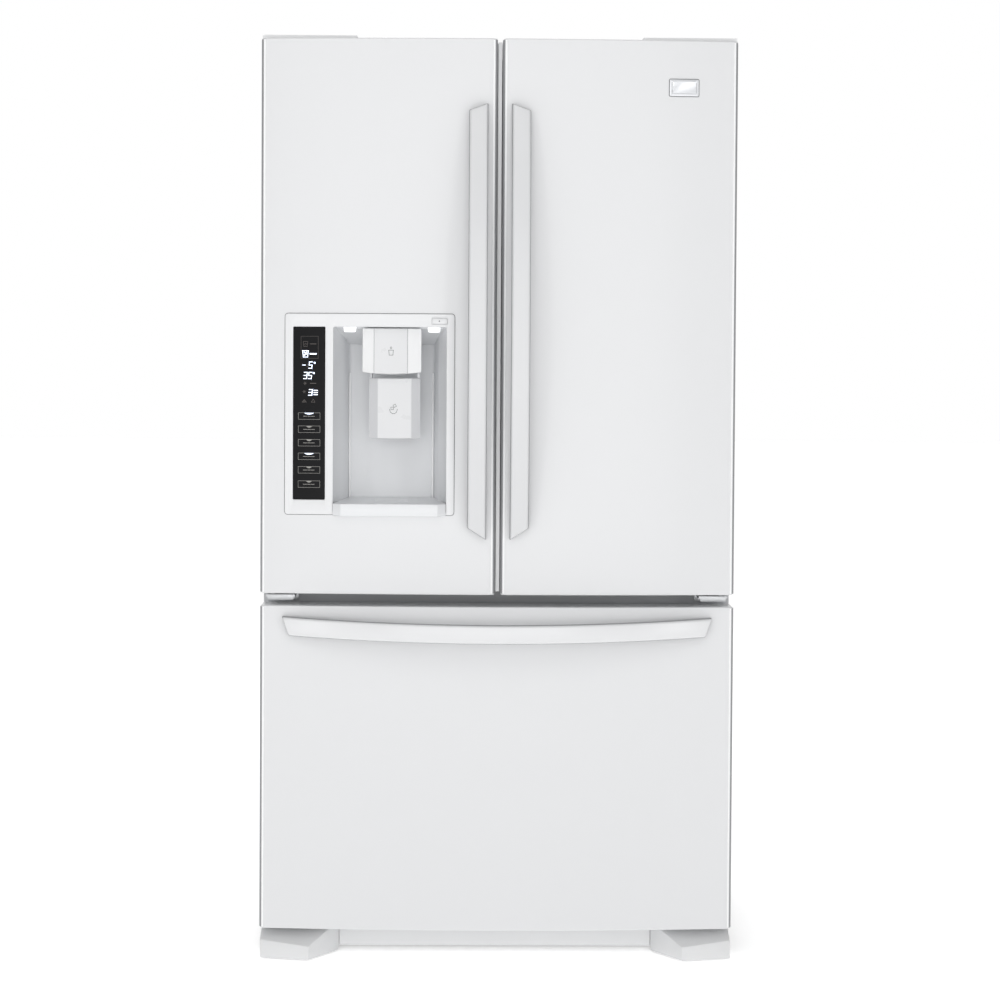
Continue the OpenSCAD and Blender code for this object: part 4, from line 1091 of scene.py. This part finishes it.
def pad_plate(front, back, z0, z1, sag):
    """Faceted plate: front is its plan line from left to right; the lower edge sags in the middle"""
    mid, half = (front[0][0] + front[-1][0]) / 2, (front[-1][0] - front[0][0]) / 2
    plan = []
    for (x0, y0), (x1, y1) in zip(front, front[1:]):
        steps = 6 if x1 - x0 > 0.03 else 2
        plan += [(x0 + (x1 - x0) * i / steps, y0 + (y1 - y0) * i / steps) for i in range(steps)]
    plan += [front[-1], (front[-1][0], back), (front[0][0], back)]
    rings = []
    for inset, level in ((0.0008, 0), (0, 0.0008), (0, None), (0.0008, None)):
        ring = []
        for x, y in plan:
            low = z0 + sag * ((x - mid) / half) ** 2
            z = low + level if level is not None else (z1 - 0.0008 if not inset else z1)
            ring.append((x + (inset if x < mid else -inset), y + (inset if y < back else 0), z))
        rings.append(ring)
    return rings


bm = bmesh.new()
for x0, x1, y0, y1, z0, z1 in ((-0.252, -0.156, -0.336, -0.2705, 1.150, 1.2158),
                               (-0.2575, -0.2535, -0.3505, -0.300, 1.196, 1.2158),
                               (-0.1545, -0.1505, -0.3505, -0.300, 1.196, 1.2158),
                               (-0.2465, -0.2425, -0.3365, -0.300, 1.106, 1.152),
                               (-0.1555, -0.1515, -0.3365, -0.300, 1.106, 1.152)):
    skin_over(bm, pressed([(x0 + 0.001, x1 - 0.001, z0 + 0.001, z1, 0.0005, y0),
                           (x0, x1, z0, z1, 0.001, y0 + 0.001), (x0, x1, z0, z1, 0.001, y1)]))
hood_mesh = carve(to_mesh(bm), [prism(circle(chute_x, chute_y, 0.021), "Z", 1.12, 1.23)])
add_piece("hood_housing", hood_mesh, recess_grey, "left_door", ("dispenser_hood",))
spout = [(0.021, 1.1505), (0.0295, 1.1505), (0.030, 1.149), (0.0245, 1.1335), (0.0235, 1.132),
         (0.0215, 1.132), (0.021, 1.1335)]
add_piece("ice_spout", skinned([at_z(z, circle(-0.204, chute_y, r, 48)) for r, z in spout], closed=True),
          recess_grey, "left_door")
wing_grey = finish_coat("pad_wing", (0.60, 0.605, 0.62), 0.3, drift=0.01, smudge=0.04, **fine_grain)
groove_grey = finish_coat("pad_groove", (0.36, 0.365, 0.375), 0.5, drift=0.05, smudge=0.04, **fine_grain)
bright_pad = finish_coat("pad_gloss", (0.84, 0.845, 0.85), 0.22, coat=0.3, drift=0.01, smudge=0.04,
                         **fine_grain)
add_piece("water_pad_plate", skinned(pad_plate([(-0.260, -0.358), (-0.238, -0.366), (-0.174, -0.366),
                                                (-0.148, -0.358)], -0.354, 1.126, 1.2136, 0.004)),
          bright_pad, "water_pad", ("water_pad",), crease=12)
add_piece("water_pad_face", skinned(pad_plate([(-0.2375, -0.3661), (-0.2372, -0.3663), (-0.1748, -0.3663),
                                               (-0.1745, -0.3661)], -0.366, 1.1272, 1.2132, 0.0003)),
          pad_white, "water_pad", crease=12)
bm = bmesh.new()
for x in (-0.2381, -0.1739):
    stroke(bm, [(x, 1.1272), (x, 1.2132)], 0.0008, -0.3664, -0.3655)
add_piece("water_pad_grooves", to_mesh(bm), groove_grey, "water_pad")
add_piece("ice_pad_plate", skinned(pad_plate([(-0.248, -0.338), (-0.232, -0.346), (-0.166, -0.346),
                                              (-0.150, -0.338)], -0.334, 1.001, 1.1185, 0.0015)),
          wing_grey, "ice_pad", ("ice_pad",), crease=12)
add_piece("ice_pad_face", skinned(pad_plate([(-0.2310, -0.3461), (-0.2305, -0.3464), (-0.1675, -0.3464),
                                             (-0.1670, -0.3461)], -0.346, 1.0022, 1.1180, 0.0002)),
          pad_white, "ice_pad", crease=12)
for pad, axis_y, axis_z, reach in (("water_pad", -0.3515, 1.206, (-0.2585, -0.1495)),
                                   ("ice_pad", -0.3360, 1.112, (-0.2475, -0.1505))):
    bm = bmesh.new()
    skin_over(bm, rod(reach[0], reach[1], axis_y, axis_z, 0.0022))
    for x in (reach[0] + 0.006, reach[1] - 0.012):
        skin_over(bm, pressed([(x, x + 0.006, axis_z - 0.004, axis_z + 0.003, 0.0015, axis_y + dy)
                               for dy in (-0.002, 0.0022)]))
    add_piece(pad + "_pins", to_mesh(bm), recess_grey, pad)
bm = bmesh.new()
y = -0.3663
cup = [(-0.2100, 1.1720), (-0.2090, 1.1625), (-0.2020, 1.1625), (-0.2010, 1.1720)]
stroke(bm, cup, 0.0009, y - 0.0002, y, loop=True)
drop = [(-0.2055 + 0.0014 * math.sin(i * math.tau / 10), 1.1765 - 0.0019 * math.cos(i * math.tau / 10))
        for i in range(10)]
stroke(bm, drop, 0.0007, y - 0.0002, y, loop=True)
add_piece("water_picture", to_mesh(bm), line_grey, "water_pad")
bm = bmesh.new()
y = -0.3464
scoop = [(-0.2085, 1.0590), (-0.2068, 1.0530), (-0.2030, 1.0505), (-0.1985, 1.0505), (-0.1950, 1.0535),
         (-0.1935, 1.0590)]
stroke(bm, scoop, 0.0009, y - 0.0002, y)
for cx, cz, turn in ((-0.1985, 1.0655, 0.5), (-0.2035, 1.0605, 0.15)):
    cube = []
    for k in range(4):
        t = turn + math.pi / 4 + k * quarter
        cube.append((cx + 0.0034 * math.cos(t), cz + 0.0034 * math.sin(t)))
    stroke(bm, cube, 0.0008, y - 0.0002, y, loop=True)
add_piece("ice_picture", to_mesh(bm), line_grey, "ice_pad")

lamp_white = finish_coat("dispenser_lamp", (0.92, 0.93, 0.95), 0.35, drift=0.01, smudge=0.04,
                         grain=0.00005, grain_size=0.002)
feed(lamp_white.node_tree.nodes["Principled BSDF"], {"Emission Color": (1, 1, 1, 1),
                                                     "Emission Strength": 0.45})
bm = bmesh.new()
for x0, x1 in ((-0.297, -0.272), (-0.136, -0.111)):
    rings = []
    for z, inset, lean in ((1.2158, 0, 0), (1.2085, 0.001, 0), (1.2068, 0.0018, 0),
                           (1.206, 0.0035, 0.001)):
        lens = round_rect(x0 + inset, x1 - inset, -0.364 + inset * 0.6, -0.352 - inset * 0.6 - lean,
                          0.0025)
        rings.append(at_z(z, lens))
    skin_over(bm, rings)
add_piece("niche_lamps", to_mesh(bm), lamp_white, "left_door", ("dispenser_lamps",))
nose = [(-0.3145, -0.386), (-0.2990, -0.400), (-0.1150, -0.404), (-0.0995, -0.392), (-0.0995, -0.3715),
        (-0.3145, -0.3715)]


def pulled_in(ring, inset):
    """Outline moved inwards towards its middle by about the inset"""
    cx, cy = sum(p[0] for p in ring) / len(ring), sum(p[1] for p in ring) / len(ring)
    return [(x + inset * (1 if x < cx else -1), y + inset * (1 if y < cy else -1)) for x, y in ring]


lip = [(0.002, 0.8563), (0.0006, 0.8567), (0, 0.858), (0, 0.8778), (0.0006, 0.8792), (0.002, 0.8797)]
add_piece("tray_lip", skinned([at_z(z, pulled_in(nose, inset)) for inset, z in lip]), recess_grey,
          "left_door", ("drip_tray",))
plate = [(-0.3135, -0.3716), (-0.1005, -0.3716), (-0.1235, -0.2780), (-0.1265, -0.2712),
         (-0.2875, -0.2712), (-0.2905, -0.2780)]
tray = carve(skinned([[(x, y, z + 0.065 * (y + 0.3716)) for x, y in plate] for z in (0.8685, 0.8795)]),
             [prism(round_rect(-0.236, -0.172, -0.345, -0.305, 0.004), "Z", 0.86, 0.90)])
add_piece("tray_plate", tray, recess_grey, "left_door")
row_of_slats("tray_grille", [(-0.204, -0.343, 0.8792)], 9, (0, 0.0046, 0.0003), 0.0645, 0.0022, 0.004,
             0.0008, (0, 0, 0), recess_grey, "left_door")
broken_edges("light_button", 0.0006, frame_white)
dot = (-0.1145, -0.1120, 1.2262, 1.2287, 0.0012)
add_piece("button_dot", wrap_to_bow(skinned(pressed([(*dot, -0.0045), (*dot, -0.0047)]))), line_grey,
          "light_button")

# ---- Control panel ----
# Gloss black window over a lit display of numbers and pictures, and six touch keys below it, each
# outlined and with its own crescent lamp. Plain dashes stand where a key would have its label.
panel_black = finish_coat("black_panel", (0.003, 0.003, 0.004), 0.18, drift=0.1, smudge=0.03,
                          smudge_size=0.03, grain=0.000002, grain_size=0.004, shine=0.12)
panel_x, panel_top = -0.391, 1.2155
pane = nested(panel_x, -0.3305, 0.8865, panel_top, (
    (0, 0.002, 0.008), (0, 0.002, -0.0011), (0.0003, 0.002, -0.0015)))
add_piece("panel_window", wrap_to_bow(skinned(pressed(pane))), panel_black, "left_door",
          ("control_panel",))


def glow(name, colour, strength):
    light = finish_coat(name, colour, 0.4, drift=0.05, smudge=0.05)
    feed(light.node_tree.nodes["Principled BSDF"], {"Emission Color": (*colour, 1),
                                                    "Emission Strength": strength})
    return light


lit = glow("display_lit", (0.80, 0.86, 1.0), 1.1)
key_lamp_on = glow("key_lamp_on", (0.72, 0.80, 1.0), 1.2)
unlit = glow("display_unlit", (0.075, 0.065, 0.06), 0.25)
outline = glow("key_outline", (0.24, 0.235, 0.22), 0.25)
face = -0.0015


def at(right, down):
    """Point on the panel in millimetres from its upper left corner"""
    return panel_x + right / 1000, panel_top - down / 1000


def line(points, width, loop=False):
    stroke(bm, [at(*p) for p in points], width / 1000, face - 0.00018, face, loop)


def digit(value, right, down, wide=5.6, high=12.0, width=1.5, slant=1.4):
    """Seven-stroke figure, leaning a little to the right"""
    mid = down + high / 2
    corners = {"a": ((0, down), (wide, down)), "b": ((wide, down), (wide, mid)),
               "c": ((wide, mid), (wide, down + high)), "d": ((0, down + high), (wide, down + high)),
               "e": ((0, mid), (0, down + high)), "f": ((0, down), (0, mid)),
               "g": ((0, mid), (wide, mid))}
    strokes = {"3": "abgcd", "5": "afgcd", "0": "abcdef", "-": "g"}[value]
    for s in strokes:
        line([(right + x + slant * (down + high - z) / high, z) for x, z in corners[s]], width)


def ring_mark(right, down, r, width=0.6):
    line([(right + r * math.cos(i * math.tau / 12), down + r * math.sin(i * math.tau / 12))
          for i in range(12)], width, True)


bm = bmesh.new()
digit("-", 17.0, 66.8, wide=5.0)
digit("5", 29.4, 66.8)
ring_mark(40.5, 68.5, 1.3, 0.9)
digit("3", 19.6, 86.6)
digit("5", 28.6, 86.6)
ring_mark(39.0, 88.0, 1.3, 0.9)
digit("3", 29.0, 119.4, wide=6.2, high=10.8)
for down in (121.0, 125.0, 129.0):
    line([(39.5, down), (46.0, down)], 1.7)
line([(17.5, 45.5), (19.0, 57.5), (27.0, 57.5), (28.5, 45.5)], 1.4, True)
line([(20.5, 48.0), (23.0, 50.5), (25.5, 48.0)], 1.8)
line([(20.8, 54.0), (25.2, 51.0)], 2.2)
line([(32.0, 51.4), (43.0, 51.4)], 2.6)
add_piece("display_figures", wrap_to_bow(to_mesh(bm)), lit, "left_door")
bm = bmesh.new()
line([(14.5, 18.0), (14.5, 60.0), (47.3, 60.0), (47.3, 18.0)], 0.45, True)
line([(18.5, 28.0), (19.8, 37.5), (26.2, 37.5), (27.5, 28.0)], 0.6, True)
ring_mark(23.0, 33.0, 1.8)
line([(32.0, 32.5), (43.0, 32.5)], 1.2)
for right, down in ((22.5, 107.5), (21.0, 123.5)):
    for k in range(3):
        t = k * math.pi / 3
        line([(right - 3 * math.cos(t), down - 3 * math.sin(t)),
              (right + 3 * math.cos(t), down + 3 * math.sin(t))], 0.6)
line([(32.5, 107.5), (43.0, 107.5)], 1.2)
line([(17.0, 143.5), (21.0, 138.5), (25.0, 143.5)], 0.7, True)
line([(34.5, 143.5), (38.0, 137.5), (41.5, 143.5)], 0.7, True)
ring_mark(21.0, 141.8, 1.2)
digit("0", 26.0, 69.5, wide=2.2, high=7.0, width=0.5)
add_piece("display_unlit_marks", wrap_to_bow(to_mesh(bm)), unlit, "left_door")
key_tops = (163.7, 188.8, 214.5, 240.4, 266.3, 293.5)
bm = bmesh.new()
for down in key_tops:
    line([(9.8, down), (51.2, down), (51.2, down + 12.6), (9.8, down + 12.6)], 0.55, True)
    for start, end in ((19.5, 26.0), (27.8, 33.0), (34.8, 40.5)):
        line([(start, down + 6.6), (end, down + 6.6)], 0.95)
add_piece("key_outlines", wrap_to_bow(to_mesh(bm)), outline, "left_door")
for name, chosen, coat, wide in (("key_lamps_on", (0, 3), key_lamp_on, 19.0),
                                 ("key_lamps_off", (1, 2, 4, 5), outline, 11.0)):
    bm = bmesh.new()
    for i in chosen:
        edge = []
        for k in range(13):
            t = k / 12
            edge.append((30.4 + wide * (t - 0.5), key_tops[i] + 0.3 + 2.9 * 4 * t * (1 - t)))
        edge = [at(*p) for p in edge]
        skin_over(bm, [at_y(y, edge) for y in (face, face - 0.0003)])
    add_piece(name, wrap_to_bow(to_mesh(bm)), coat, "left_door")

# ---- Freezer basket, tray and slides ----
# A deep white basket of vertical bars rides on the drawer with a shallow moulded tray above it, on
# zinc-plated telescopic runners.
basket_white = finish_coat("basket_plastic", (0.76, 0.77, 0.78), 0.38, drift=0.01, smudge=0.06,
                           grain=0.00003, grain_size=0.0014)
basket_low, basket_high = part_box("freezer_basket")
basket_x = 0.358
basket_tub = skinned(moulded_tub(Vector((-basket_x, basket_low.y, basket_low.z)),
                                 Vector((basket_x, basket_high.y, basket_high.z)), 0.003, draft=0.006,
                                 corner=0.022, rim=0.006, fillet=0.012))
slots = []
slot_wide, slot_tall, slot_pitch = 0.030, 0.085, 0.041
for row_z in (0.215, 0.330):
    for i in range(-8, 9):
        x = i * slot_pitch
        ring = round_rect(x - slot_wide / 2, x + slot_wide / 2, row_z, row_z + slot_tall, 0.008)
        slots.append([at_y(basket_high.y - 0.03, ring), at_y(basket_high.y + 0.01, ring)])
add_piece("basket_tub", carve(basket_tub, [skinned(*slots)]), basket_white,
          "freezer_drawer", ("freezer_basket",))
bm = bmesh.new()
for side in (-1, 1):
    x0, x1 = sorted((side * 0.352, side * 0.383))
    rings = []
    for inset, y in ((0.001, basket_low.y), (0, basket_low.y + 0.001), (0, basket_low.y + 0.459),
                     (0.001, basket_low.y + 0.460)):
        rings.append(at_y(y, round_rect(x0 + inset, x1 - inset, 0.306 + inset, 0.338 - inset, 0.004)))
    skin_over(bm, rings)
add_piece("drawer_runners", to_mesh(bm), zinc, "freezer_drawer")
tray_low, tray_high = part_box("freezer_tray")
add_piece("upper_tray", skinned(moulded_tub(Vector((tray_low.x, tray_low.y, 0.496)), tray_high, 0.003,
                                            draft=0.005, corner=0.018)), basket_white,
          "freezer_tray", ("freezer_tray",))
bm = bmesh.new()
for side in (-1, 1):
    x0, x1 = sorted((side * 0.340, side * 0.352))
    rings = []
    for inset, y in ((0.001, tray_low.y + 0.002), (0, tray_low.y + 0.003), (0, tray_high.y - 0.003),
                     (0.001, tray_high.y - 0.002)):
        rings.append(at_y(y, round_rect(x0 + inset, x1 - inset, 0.474 + inset, 0.4975, 0.003)))
    skin_over(bm, rings)
add_piece("tray_runners", to_mesh(bm), basket_white, "freezer_tray")
broken_edges("freezer_slides", 0.0008, zinc, steps=1)
